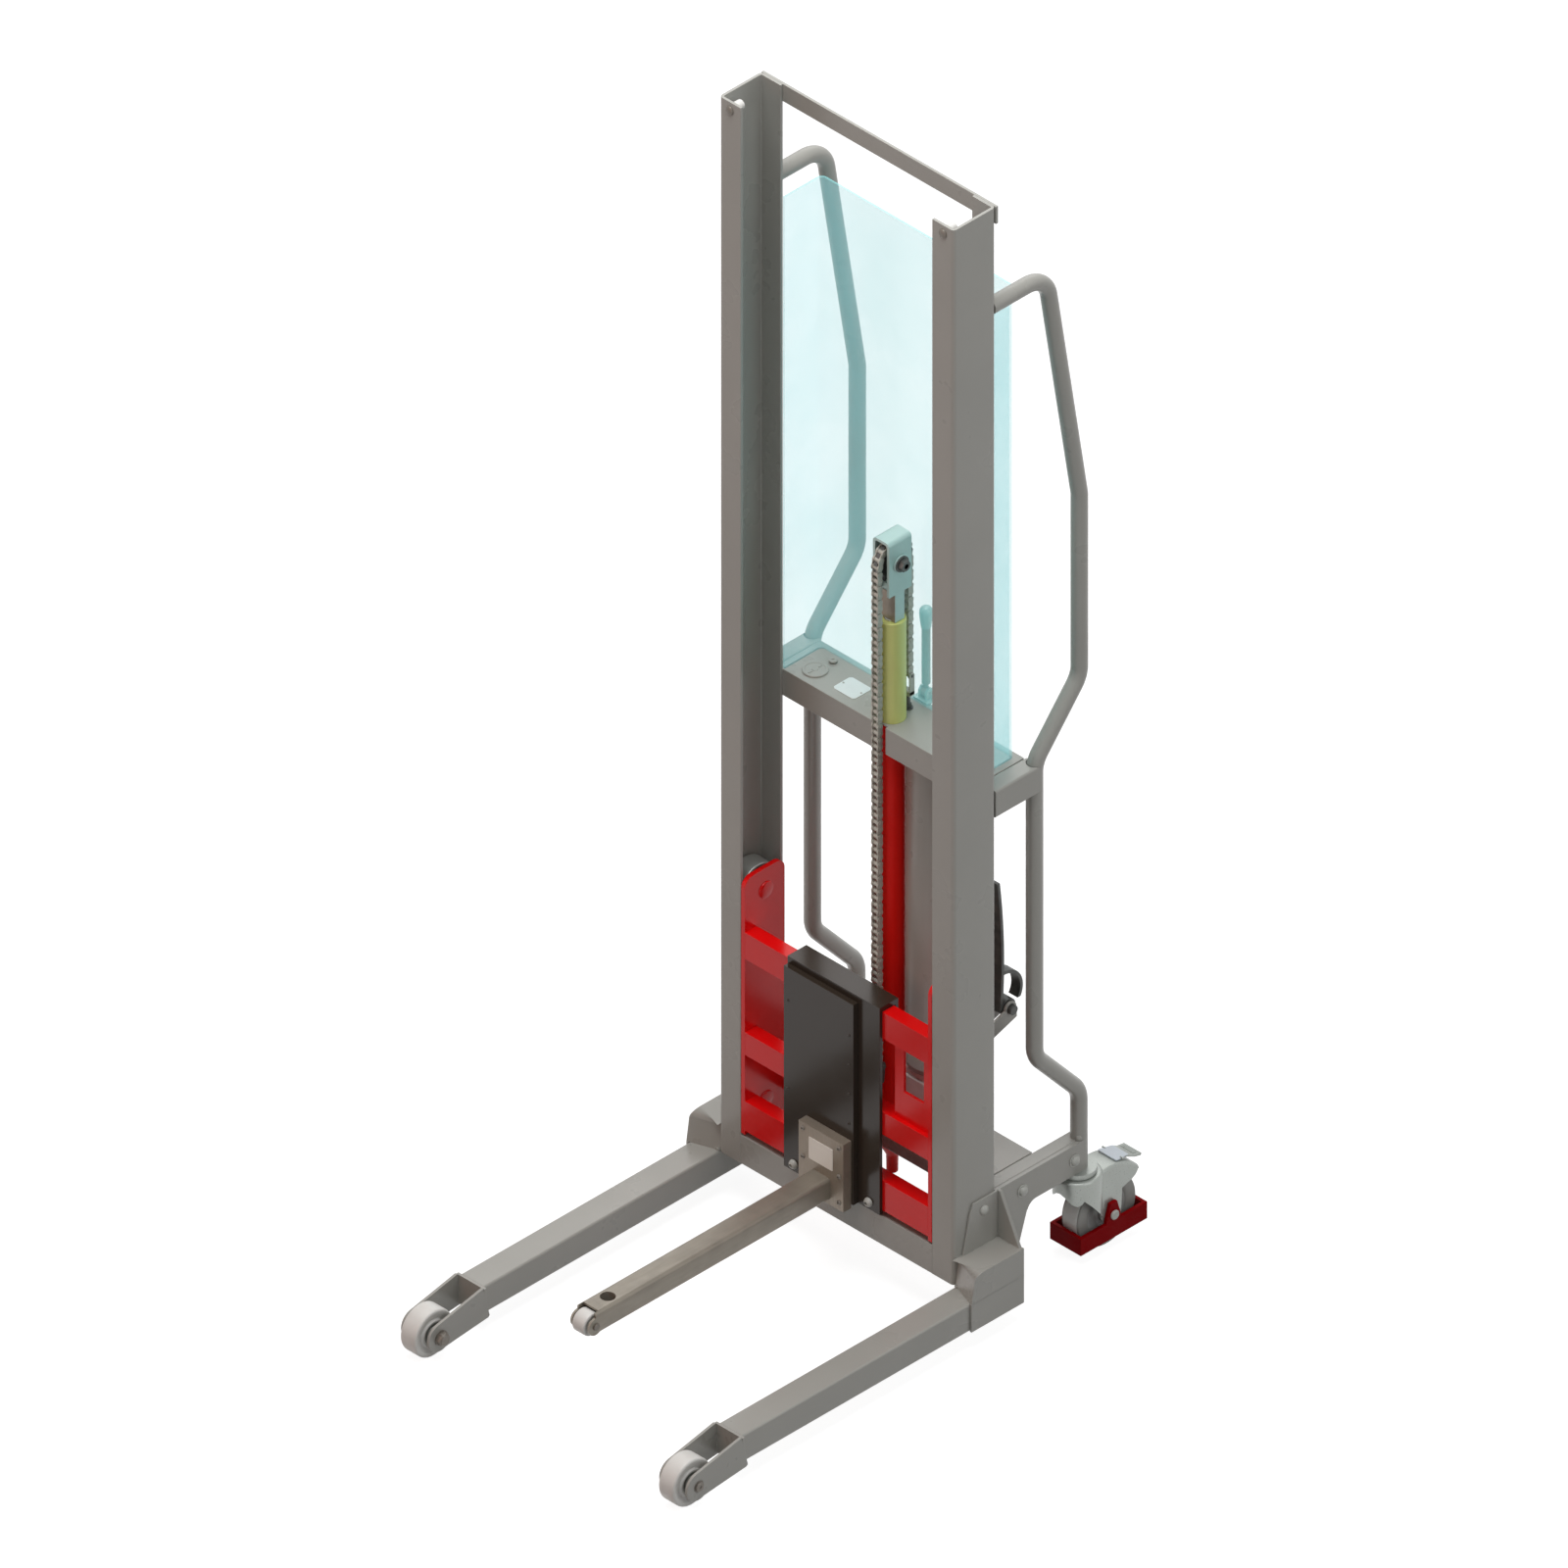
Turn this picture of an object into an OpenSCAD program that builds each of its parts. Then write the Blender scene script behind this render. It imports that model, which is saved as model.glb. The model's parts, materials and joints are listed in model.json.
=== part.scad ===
// Hand pallet stacker: straddle legs, a mast of two channels, a hydraulic ram
// that lifts a chain wheel, a carriage hung on the chain with a boom in front,
// two handles, a clear guard and two braked swivel casters.
// Lengths are in millimetres. X runs across the machine, Y from the tips of the
// legs to the operator, and Z up from the floor.

/* [Mast] */
// Width over the two uprights
mast_w = 500; // [460:5:540]
// Depth of an upright from front to back
mast_d = 90; // [84:1:100]
// Width of the flanges of an upright
flange_w = 46; // [40:1:54]
// Wall of the uprights
mast_wall = 5; // [4:0.5:6]
// Outer bend radius of the uprights
mast_bend_r = 7; // [6.5:0.5:9]
// Height of the top of the mast above the floor
mast_h = 2030; // [2000:5:2200]
// Height of the flat bar across the top
top_bar_h = 32; // [20:1:50]
// Thickness of the flat bar across the top
top_bar_t = 5; // [3:0.5:8]
// Depth of the cross beam at the foot
foot_beam_d = 50; // [40:1:60]
// Height of the cross beam at the foot
foot_beam_h = 53; // [40:1:55]
// Distance of the end stops below the top of the mast
stop_drop = 15; // [12:1:30]

/* [Straddle legs] */
// Side of the square leg tube
leg_size = 50; // [44:1:54]
// Wall of the leg tube
leg_wall = 4; // [3:0.5:6]
// Corner radius of the leg tube
leg_corner_r = 4; // [4:0.5:7]
// Reach of the leg tube in front of the mast
leg_reach = 500; // [450:5:600]
// Distance of the roller axle in front of the leg tube
fork_reach = 98; // [90:1:120]
// Height of the underside of the leg below the roller axle
leg_drop = 8; // [4:1:12]
// Thickness of the fork plates
fork_t = 5; // [4:0.5:6]

/* [Front rollers] */
// Diameter of the front rollers
roller_d = 82; // [76:1:90]
// Width of the front rollers
roller_w = 32; // [26:1:36]
// Diameter of the front roller axles
front_axle_d = 20; // [16:1:24]

/* [Rear frame] */
// Height of the underside of the lower arms, which is the casters' mounting height
arm_z = 160; // [158:1:170]
// Height of the lower arms
arm_h = 55; // [50:1:60]
// Width of the arms across the machine
arm_w = 33; // [30:1:36]
// Thickness of the arms' outer plate
arm_plate_t = 6; // [4:0.5:8]
// Depth of the base plate behind the mast
base_d = 110; // [106:1:125]
// Thickness of the base plate
base_t = 5; // [4:0.5:8]
// Height of the front lip of the base plate
base_lip_h = 34; // [20:1:36]
// Sheet thickness of the corner brackets
bracket_t = 4; // [3:0.5:5]
// Height of the corner brackets above the legs
bracket_h = 45; // [38:1:52]

/* [Handles] */
// Outer diameter of the handle tube
handle_d = 26.9; // [24:0.1:30]
// Wall of the handle tube
handle_wall = 2.6; // [2:0.1:4]
// Bend radius of the handle tube on its centreline
handle_bend_r = 48; // [40:1:55]
// Distance of the grips behind the mast
grip_y = 191; // [180:1:210]
// Height of the handles' upper fixing
handle_top_z = 1840; // [1830:5:1900]

/* [Deck] */
// Height of the deck's top surface
deck_z = 951; // [900:1:1000]
// Height of the deck's skirt
deck_h = 49; // [40:1:60]
// Depth of the deck behind the mast
deck_d = 93; // [90:1:95]
// Sheet thickness of the deck
deck_t = 3; // [2:0.5:4]
// Diameter of the filler cap
cap_d = 41; // [30:1:50]

/* [Guard] */
// Lap of the clear guard behind the flanges of the mast
guard_lap = 2; // [1:0.5:6]
// Height of the clear guard
guard_h = 870; // [700:5:900]
// Thickness of the clear guard
guard_t = 4; // [3:0.5:6]
// Distance of the guard's back panel behind the mast
guard_y = 81; // [78:1:84]

/* [Ram and chain] */
// Distance of the ram's axis behind the mast's front face
ram_y = 119; // [119:0.5:121]
// Diameter of the ram's rod
rod_d = 25; // [22:1:27]
// Outer diameter of the cylinder barrel
barrel_d = 38; // [35:1:39]
// Outer diameter of the yellow sleeve on the deck
sleeve_d = 43; // [42:1:44]
// Height of the sleeve above the deck
sleeve_h = 184; // [150:1:200]
// Running clearance between rod and barrel
rod_gap = 0.08; // [0.05:0.01:0.1]
// Number of teeth of the chain wheel
wheel_teeth = 16; // [14:2:16]
// Pitch of the chain
chain_pitch = 12.7; // [12:0.1:13]
// Diameter of the chain rollers
chain_roller_d = 8.5; // [7.5:0.1:9]
// Width of the chain over its plates
chain_w = 15; // [13:0.5:17]
// Height of the chain's plates
chain_h = 11.8; // [10:0.1:12]
// Diameter of the chain wheel's axle
wheel_axle_d = 16; // [12:1:20]
// Depth of the ram head from front to back
head_d = 48; // [40:1:50]
// Wall of the ram head
head_t = 5; // [4:0.5:6]

/* [Hydraulics] */
// Diameter of the oil tank
tank_d = 94; // [84:1:96]
// Distance of the tank's axis to the right of the ram
tank_x = 62; // [62:1:70]
// Height of the pump block
pump_h = 115; // [90:1:140]
// Side of the pump block
pump_w = 84; // [76:1:86]
// Diameter of the pedal's pivot shaft
pedal_shaft_d = 16; // [12:1:20]
// Length of the pedal's blade above its pivot
pedal_l = 238; // [180:1:240]

/* [Carriage] */
// Thickness of the carriage side plates
side_t = 8; // [6:0.5:10]
// Height of the underside of the carriage above the floor
carriage_z = 141; // [140:1:150]
// Height of the carriage side plates
side_h = 470; // [450:5:500]
// Thickness of the cross bars, front to back
bar_t = 25; // [20:1:28]
// Gap between the side plates and the mast flanges
side_gap = 1; // [0.6:0.1:2]
// Gap between the guide rollers and the flanges
guide_gap = 0.6; // [0.4:0.1:1]
// Width of the guide rollers
guide_w = 32; // [26:1:34]
// Diameter of the guide roller pins
guide_pin_d = 25; // [18:1:30]

/* [Tool and boom] */
// Width of the tool plate
tool_w = 196; // [180:1:210]
// Thickness of the tool plate
tool_t = 6; // [5:0.5:8]
// Width of the cover on the tool plate
cover_w = 148; // [130:1:160]
// Depth of the cover on the tool plate
cover_d = 10; // [8:0.5:14]
// Width of the boom's flange
flange_plate_w = 95; // [86:1:100]
// Height of the boom's flange
flange_plate_h = 124; // [110:1:130]
// Thickness of the boom's flange
flange_plate_t = 17; // [12:0.5:18]
// Side of the square boom tube
boom_size = 40; // [38:1:44]
// Wall of the boom tube
boom_wall = 4; // [3:0.5:5]
// Corner radius of the boom tube
boom_corner_r = 6; // [5.5:0.5:8]
// Length of the boom in front of its flange
boom_l = 512; // [450:1:600]
// Diameter of the pin hole near the boom's tip
boom_hole_d = 24.5; // [20:0.1:26]
// Diameter of the boom's tip roller
tip_d = 36; // [32:1:37]
// Width of the boom's tip roller
tip_w = 25; // [20:1:27]

/* [Casters] */
// Diameter of the caster wheels
wheel_d = 125; // [115:1:126]
// Width of the caster wheels
wheel_w = 36; // [30:1:38]
// Trail of the caster wheels behind their swivel axis
trail = 45; // [40:1:48]
// Diameter of the caster axles
caster_axle_d = 12; // [10:1:14]
// Width of the foot guards
foot_guard_w = 66; // [65:1:72]
// Length of the foot guards
foot_guard_l = 141.5; // [138:0.5:145]
// Height of the foot guards
foot_guard_h = 31; // [26:1:34]
// Running clearance of pins and axles in their bores
pin_gap = 0.06; // [0.03:0.01:0.1]
// Clearance between pieces that move past each other
move_gap = 0.4; // [0.3:0.1:0.6]

/* [Hidden] */
$fn = 64;

// Mast
mast_x = mast_w / 2;
flange_x = mast_x - flange_w;
roller_r = roller_d / 2;
leg_z = roller_r - leg_drop;
leg_top = leg_z + leg_size;
mast_foot = leg_top + 1;
stop_z = mast_h - stop_drop;
stop_d = 16;
stop_l = 20;
stop_x = mast_x - flange_w / 2;

// Legs, forks and front rollers
leg_x = mast_x + leg_size / 2;
leg_rear = mast_d + 6;
axle_y = -leg_reach - fork_reach;
fork_half = leg_size / 2 + fork_t;
fork_lap = 7;
fork_nose_r = 25;
front_axle_head = 4;
front_axle_nut = 11;

// Corner brackets
bracket_out = bracket_t;
bracket_top = leg_top + bracket_h;
bracket_lean = 12;
bracket_front = -16;
bracket_wall_y = 25;
gusset_t = 6;
corner_bolt = [60, arm_z + arm_h - 18];

// Rear frame
arm_top = arm_z + arm_h;
arm_in = mast_x - arm_w;
arm_wall = 3;
tube_x = mast_x - handle_d / 2;
stem_y = mast_d + 190;
stem_x = tube_x - 3;
arm_bolts = [[mast_d + 56, arm_z + arm_h / 2], [mast_d + 167, arm_z + arm_h / 2]];
bolt_head_r = 8;
bolt_head_h = 6;
bolt_r = 5;

// Handles: the centreline in the plane of each handle, from the mast down
deck_tube_y = mast_d + deck_d + 2.5;
handle_path = [
    [mast_d, handle_top_z], [mast_d + grip_y - 72, handle_top_z],
    [mast_d + grip_y, handle_top_z - 439], [mast_d + grip_y, handle_top_z - 774],
    [deck_tube_y, deck_z + 1], [deck_tube_y, arm_z + 249],
    [stem_y, arm_z + 141], [stem_y, arm_z]
];

// Deck and what stands on it
deck_low = deck_z - deck_h;
deck_back = mast_d + deck_d;
cap_pos = [-167, mast_d + 32];
knob_pos = [-163, mast_d + 66];
blank_pos = [-94, mast_d + 38];
blank_size = [46, 40, 1];
lever_pos = [3, deck_back + 5];
lever_l = 138;
lever_ear_x = 9;
lever_ear_t = 4;
lever_pin_z = 14;
lever_pin_r = 3;
lever_hub_r = 7;
lever_rod_r = 6;
lever_knob_r = 9;

// Ram
wheel_r = chain_pitch / (2 * sin(180 / wheel_teeth));
wheel_tip_r = wheel_r + chain_roller_d / 2;
sleeve_top = deck_z + sleeve_h;
head_block_h = 53;
head_z = sleeve_top + move_gap + head_block_h;
wheel_z = head_z + 54;
head_top = wheel_z + 45;
head_w = chain_w + 2 * head_t + 10;
rod_foot = arm_top + 45;
barrel_foot = arm_top - 87;
barrel_nose = 14;
lift = 54 * chain_pitch;
front_chain_y = ram_y - wheel_r;
rear_chain_y = ram_y + wheel_r;
anchor_h = 54;
chain_slot = 3.9;
chain_skin = 1.1;

// Hydraulics
tank_y = mast_d + 60;
pedal_pos = [150, mast_d + 117, arm_top + 235];
pedal_w = 20;
pedal_bracket_t = 5;
pedal_hub_r = 15;
tank_low = arm_top + pump_h;

// Carriage
side_x = flange_x - side_gap - side_t;
side_d = mast_d - 5;
side_top = carriage_z + side_h;
guide_d = mast_d - 2 * mast_wall - 2 * guide_gap;
guide_y = mast_d / 2;
guide_x = mast_x - mast_wall - guide_w - 4;
guide_z = [carriage_z + 44, side_top - 40];
bar_low_h = 55;
bar_mid_z = carriage_z + 147;
bar_mid_h = 42;
bar_top_z = carriage_z + 324;
bar_top_h = 49;
bar_low = [carriage_z + 7, carriage_z + 7 + bar_low_h];
bar_mid = [bar_mid_z, bar_mid_z + bar_mid_h];
bar_top = [bar_top_z, bar_top_z + bar_top_h];
back_plate_w = 79;
back_plate_t = 5;
back_plate_inset = 8;
window_w = 42;
window_x = side_x - 17;
window_low = bar_mid[1] + 51;
window_top = bar_top[0] - 4;
clevis_w = 24;
clevis_y = front_chain_y + chain_h / 2;
clevis_z = [bar_mid[0] + 8, bar_mid[1] - 6];

// Tool plate, cover, flange and boom
tool_top = bar_top[1] + 9;
cover_x = [-tool_w / 2 + 2, -tool_w / 2 + 2 + cover_w];
cover_y = -tool_t - cover_d;
cover_t = 2;
flange_y = cover_y - flange_plate_t;
boom_z = carriage_z + 3;
boom_mid_z = boom_z + boom_size / 2;
flange_plate_z = boom_z - 9;
boom_end = flange_y - boom_l;
hole_y = boom_end + 58;
tip_y = boom_end + 13;
tip_z = boom_z - 2 + tip_d / 2;
tip_slot_y = tip_y + tip_d / 2 + 4;
tip_axle_d = 10;
boom_bolt_x = flange_plate_w / 2 - 9;
boom_bolt_z = [flange_plate_z + 14, flange_plate_z + flange_plate_h / 2, flange_plate_z + flange_plate_h - 10];
boom_bolts = [for (x = [-boom_bolt_x, boom_bolt_x], z = boom_bolt_z) [x, z]];
tool_bolts = [for (x = [-75, 75]) [x, bar_low[0] + 7]];
function tool_bolt_seat(x) = x > cover_x[0] && x < cover_x[1] ? cover_y : -tool_t;

// Casters
wheel_y = stem_y + trail;
wheel_z0 = wheel_d / 2;
fork_in = wheel_w / 2 + 4;
fork_out = fork_in + 4;
roof_r = wheel_z0 + 19.5;
crown_r = 38;
crown_z = [arm_z - 22, arm_z - 10 - move_gap];
swivel_pin_r = 8;
pivot_y = wheel_y + 30;
pivot_z = wheel_z0 + 84;
pivot_r = 4;
brake_w = 36;
brake_reach = 73;
foot_guard_z = 20;
foot_guard_t = foot_guard_w / 2 - fork_out - 1;

// The model's middle between the front rollers and the brake pedals
y_mid = (axle_y - roller_r + wheel_y + brake_reach) / 2;

grey = [0.62, 0.62, 0.59];
red = [0.78, 0.05, 0.06];
black = [0.2, 0.19, 0.17];
zinc = [0.72, 0.73, 0.74];

// Puts what is drawn with its front at the mast's front face over the origin
module place() translate([0, -y_mid, 0]) children();

// Draws on the right, or mirrored on the left
module on_side(left) {
    if (left) mirror([1, 0, 0]) children();
    else children();
}

module both_sides() {
    on_side(false) children();
    on_side(true) children();
}

// A rectangle with round corners, its corner at the origin
module round_rect(size, r) {
    translate([r, 0]) square([size[0] - 2 * r, size[1]]);
    translate([0, r]) square([size[0], size[1] - 2 * r]);
    for (x = [r, size[0] - r], y = [r, size[1] - r]) translate([x, y]) circle(r);
}

// A flat plate across X, its outline given in Y and Z
module yz_plate(x, t) translate([x, 0, 0]) rotate([90, 0, 90]) linear_extrude(t) children();

// A flat plate across Y, its outline given in X and Z
module xz_plate(y, t) translate([0, y + t, 0]) rotate([90, 0, 0]) linear_extrude(t) children();

module box(low, high) translate(low) cube(high - low);

module rod_x(x0, x1, pos, r) translate([x0, pos[0], pos[1]]) rotate([0, 90, 0]) cylinder(h = x1 - x0, r = r);

module rod_y(y0, y1, pos, r) translate([pos[0], y0, pos[1]]) rotate([-90, 0, 0]) cylinder(h = y1 - y0, r = r);

// A rectangular tube along Y, with its corner at pos in X and Z
module tube_y(pos, size, wall, r, y0, y1) {
    translate([pos[0], y1, pos[1]]) rotate([90, 0, 0]) linear_extrude(y1 - y0) difference() {
        round_rect(size, r);
        translate([wall, wall]) round_rect(size - [2 * wall, 2 * wall], max(r - wall, 0.5));
    }
}

// A hexagon head along X, its face at x, pointing outwards by h
module hex_x(x, h, pos, r) translate([x, pos[0], pos[1]]) rotate([0, 90, 0]) cylinder(h = h, r = r, $fn = 6);

// Points along a path in Y and Z whose corners are rounded to one bend radius
function unit(v) = v / norm(v);
function bent_path(path, bend, steps) = [
    for (i = [0:len(path) - 1])
        if (i == 0 || i == len(path) - 1) path[i]
        else let (
            a = unit(path[i] - path[i - 1]),
            b = unit(path[i + 1] - path[i]),
            turn = acos(a * b),
            trim = bend * tan(turn / 2),
            side = a[0] * b[1] - a[1] * b[0] > 0 ? 1 : -1,
            enter = path[i] - a * trim,
            hub = enter + side * bend * [-a[1], a[0]],
            from = atan2(enter[1] - hub[1], enter[0] - hub[0])
        ) each [for (k = [0:steps]) hub + bend * [
            cos(from + side * turn * k / steps), sin(from + side * turn * k / steps)
        ]]
];

// Direction in which a ring of the tube faces at point i of its path
function facing(line, i) = unit(
    (i == 0 ? [0, 0] : unit(line[i] - line[i - 1]))
    + (i == len(line) - 1 ? [0, 0] : unit(line[i + 1] - line[i]))
);

// A hollow tube along a line in Y and Z, with its rings square to the line
module bent_tube(line, r, wall, sides) {
    n = len(line);
    ring = [for (radius = [r, r - wall], i = [0:n - 1], k = [0:sides - 1])
        let (f = facing(line, i), a = (k + 0.5) * 360 / sides)
            [radius * sin(a), line[i][0] - radius * cos(a) * f[1], line[i][1] + radius * cos(a) * f[0]]];
    wall_faces = [for (i = [0:n - 2], k = [0:sides - 1]) let (k2 = (k + 1) % sides)
        [i * sides + k, i * sides + k2, (i + 1) * sides + k2, (i + 1) * sides + k]];
    bore = n * sides;
    bore_faces = [for (q = wall_faces) [bore + q[3], bore + q[2], bore + q[1], bore + q[0]]];
    end_faces = [for (k = [0:sides - 1]) let (k2 = (k + 1) % sides, e = (n - 1) * sides) each [
        [k, bore + k, bore + k2, k2], [e + k2, bore + e + k2, bore + e + k, e + k]
    ]];
    polyhedron(ring, concat(wall_faces, bore_faces, end_faces), convexity = 6);
}

// Mast

module upright() color(grey) translate([0, 0, mast_foot]) linear_extrude(mast_h - mast_foot) difference() {
    translate([flange_x - flange_w, 0]) round_rect([2 * flange_w, mast_d], mast_bend_r);
    translate([flange_x - flange_w, mast_wall])
        round_rect([2 * flange_w - mast_wall, mast_d - 2 * mast_wall], mast_bend_r - mast_wall);
    translate([flange_x - flange_w - 1, -1]) square([flange_w + 1, mast_d + 2]);
}

// Drill holes of the frame's bolts, shared by all that they pass through
module frame_bolt_holes() {
    both_sides() {
        rod_x(mast_x - mast_wall - 1, mast_x + bracket_t + 1, corner_bolt, bolt_r);
        for (p = arm_bolts) rod_x(mast_x - arm_plate_t - arm_wall, mast_x + 1, p, bolt_r);
        rod_y(-1, mast_wall + 1, [stop_x, stop_z], bolt_r);
    }
}

module mast_upright(left) place() difference() {
    on_side(left) upright();
    frame_bolt_holes();
}

module mast_upright_left() mast_upright(true);
module mast_upright_right() mast_upright(false);

module mast_top_bar() color(grey) place()
    box([-mast_x, mast_d, mast_h - top_bar_h], [mast_x, mast_d + top_bar_t, mast_h]);

module mast_foot_beam() color(grey) place() difference() {
    box([-flange_x, 0, mast_foot], [flange_x, foot_beam_d, mast_foot + foot_beam_h]);
    box([-flange_x - 1, mast_wall, mast_foot + mast_wall],
        [flange_x + 1, foot_beam_d - mast_wall, mast_foot + foot_beam_h - mast_wall]);
}

// Legs and front rollers

module leg(left) color(grey) place() on_side(left)
    tube_y([mast_x, leg_z], [leg_size, leg_size], leg_wall, leg_corner_r, -leg_reach, leg_rear);

module leg_left() leg(true);
module leg_right() leg(false);

module fork_outline() {
    polygon([
        [-leg_reach - fork_lap, leg_top + 2], [-leg_reach + fork_lap, leg_z - 3],
        [-leg_reach + 4, leg_z - 6], [axle_y - 7, roller_r - fork_nose_r + 1],
        [axle_y - 7, roller_r + fork_nose_r - 1], [-leg_reach - fork_lap, leg_top + 2]
    ]);
    translate([axle_y, roller_r]) circle(fork_nose_r);
}

module leg_fork(left) color(grey) place() on_side(left) difference() {
    union() {
        for (x = [-fork_half, fork_half - fork_t]) yz_plate(leg_x + x, fork_t) fork_outline();
        box([leg_x - fork_half, -leg_reach - fork_t, leg_z - 3], [leg_x + fork_half, -leg_reach, leg_top]);
    }
    rod_x(leg_x - fork_half - 1, leg_x + fork_half + 1, [axle_y, roller_r], front_axle_d / 2);
}

module leg_fork_left() leg_fork(true);
module leg_fork_right() leg_fork(false);

module front_axles() color(zinc) place() both_sides() {
    rod_x(leg_x - fork_half, leg_x + fork_half, [axle_y, roller_r], front_axle_d / 2);
    rod_x(leg_x + fork_half, leg_x + fork_half + front_axle_head, [axle_y, roller_r], 14);
    hex_x(leg_x - fork_half - front_axle_nut, front_axle_nut, [axle_y, roller_r], 15);
}

// A roller on a hub, its axis along X
module roller(x, pos, r, w, bore_r, bore_gap, groove) difference() {
    translate([x - w / 2, pos[0], pos[1]]) rotate([0, 90, 0]) rotate_extrude() polygon([
        [bore_r + bore_gap, 0], [r * 0.52, 0], [r * 0.52, groove], [r * 0.62, groove],
        [r * 0.66, 1], [r - 3, 0], [r, 3], [r, w - 3], [r - 3, w], [r * 0.66, w - 1],
        [r * 0.62, w - groove], [r * 0.52, w - groove], [r * 0.52, w], [bore_r + bore_gap, w]
    ]);
}

module front_roller(left) color([0.88, 0.88, 0.86]) place() on_side(left)
    roller(leg_x, [axle_y, roller_r], roller_r, roller_w, front_axle_d / 2, pin_gap, 3);

module front_roller_left() front_roller(true);
module front_roller_right() front_roller(false);

// Corner brackets: a folded box over each leg, a wall up the mast and a gusset

module corner_bracket() difference() {
    union() {
        yz_plate(mast_x + leg_size, bracket_t) difference() {
            polygon([
                [bracket_front, leg_z], [bracket_front, leg_top], [bracket_front + bracket_lean, bracket_top],
                [leg_rear, bracket_top], [leg_rear, leg_z]
            ]);
            translate([leg_rear - 6, leg_z - 1]) square([7, 7]);
        }
        yz_plate(mast_x + leg_size, bracket_t) translate([leg_rear - 6, leg_z + 6]) circle(6);
        box([mast_x, bracket_front + bracket_lean, bracket_top - bracket_t],
            [mast_x + leg_size, leg_rear, bracket_top]);
        yz_plate(mast_x, leg_size) polygon([
            [bracket_front, leg_top], [bracket_front + bracket_lean, bracket_top],
            [bracket_front + bracket_lean + bracket_t, bracket_top - bracket_t],
            [bracket_front + bracket_t, leg_top]
        ]);
        box([mast_x, bracket_wall_y, bracket_top], [mast_x + bracket_t, leg_rear - gusset_t, arm_top + 3]);
        xz_plate(leg_rear - gusset_t, gusset_t) polygon([
            [mast_x, leg_top], [mast_x + leg_size, leg_top], [mast_x + leg_size, bracket_top],
            [mast_x + bracket_t + 4, arm_top + 3], [mast_x, arm_top + 3]
        ]);
    }
    frame_bolt_holes();
}

module corner_brackets() color(grey) place() both_sides() corner_bracket();

// Lower arms: a box member with an outer plate that flares down to the leg

module lower_arm() difference() {
    union() {
        tube_y([arm_in, arm_z], [arm_w - arm_plate_t, arm_h], arm_wall, arm_wall + 0.5, mast_d, stem_y);
        yz_plate(mast_x - arm_plate_t, arm_plate_t) difference() {
            polygon([
                [mast_d, arm_top], [stem_y, arm_top], [stem_y, arm_z], [mast_d + 86, arm_z],
                [mast_d + 66, arm_z - 14], [mast_d + 46, leg_top], [mast_d, leg_top]
            ]);
            translate([mast_d + 86, arm_z - 20]) circle(20);
        }
    }
    translate([tube_x, stem_y, arm_z - 1]) cylinder(h = arm_h + 2, r = handle_d / 2);
    frame_bolt_holes();
}

module lower_arms() color(grey) place() both_sides() lower_arm();

module base_plate() color(grey) place() {
    difference() {
        box([-arm_in, mast_d, arm_top - base_t], [arm_in, mast_d + base_d, arm_top]);
        translate([0, ram_y, arm_top - base_t - 1]) cylinder(h = base_t + 2, r = barrel_d / 2);
    }
    box([-arm_in, mast_d, arm_top - base_t - base_lip_h], [arm_in, mast_d + base_t, arm_top - base_t]);
    box([-arm_in, mast_d + base_d - base_t, arm_top - base_t - base_lip_h],
        [arm_in, mast_d + base_d, arm_top - base_t]);
}

module handle(left) color(grey) place() on_side(left) translate([tube_x, 0, 0])
    bent_tube(bent_path(handle_path, handle_bend_r, 4), handle_d / 2, handle_wall, 16);

module handle_left() handle(true);
module handle_right() handle(false);

// Deck, its arms and what stands on it

module upper_arm() difference() {
    tube_y([arm_in, deck_low], [arm_w, deck_h], deck_t, 4, mast_d, deck_tube_y);
    translate([tube_x, deck_tube_y, deck_low - 1]) cylinder(h = deck_h + 2, r = handle_d / 2);
}

module upper_arms() color(grey) place() both_sides() upper_arm();

// The barrel's hole and the slot at the front for the chain and its clevis
module deck_cuts() {
    translate([0, ram_y, deck_low - 1]) cylinder(h = deck_h + 2, r = barrel_d / 2);
    box([-clevis_w / 2 - 2, mast_d - 1, deck_low - 1], [clevis_w / 2 + 2, clevis_y + 3, deck_z + 1]);
}

module deck_tray() color(grey) place() difference() {
    union() {
        box([-arm_in, mast_d, deck_z - deck_t], [arm_in, deck_back, deck_z]);
        box([-arm_in, mast_d, deck_low], [arm_in, mast_d + deck_t, deck_z - deck_t]);
        box([-arm_in, deck_back - deck_t, deck_low], [arm_in, deck_back, deck_z - deck_t]);
    }
    deck_cuts();
}

// Filler cap, bleed knob, a blank plate and the base of the release lever
module deck_fittings() color(zinc) place() {
    translate([cap_pos[0], cap_pos[1], deck_z]) cylinder(h = 3, d = cap_d);
    translate([knob_pos[0], knob_pos[1], deck_z]) {
        cylinder(h = 2, r = 5);
        translate([0, 0, 2]) cylinder(h = 3, r = 7);
    }
    translate([blank_pos[0] - blank_size[0] / 2, blank_pos[1] - blank_size[1] / 2, deck_z]) cube(blank_size);
    lever_base();
}

module guard_screen() color([0.75, 0.93, 0.92, 0.4]) place() {
    x = flange_x + guard_lap;
    y = mast_d + guard_y;
    box([-x, y, deck_z], [x, y + guard_t, deck_z + guard_h]);
    both_sides() box([x - guard_t, mast_d + 2, deck_z], [x, y, deck_z + guard_h]);
}

// Ram: barrel and sleeve on the frame, rod and head on the lift

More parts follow.
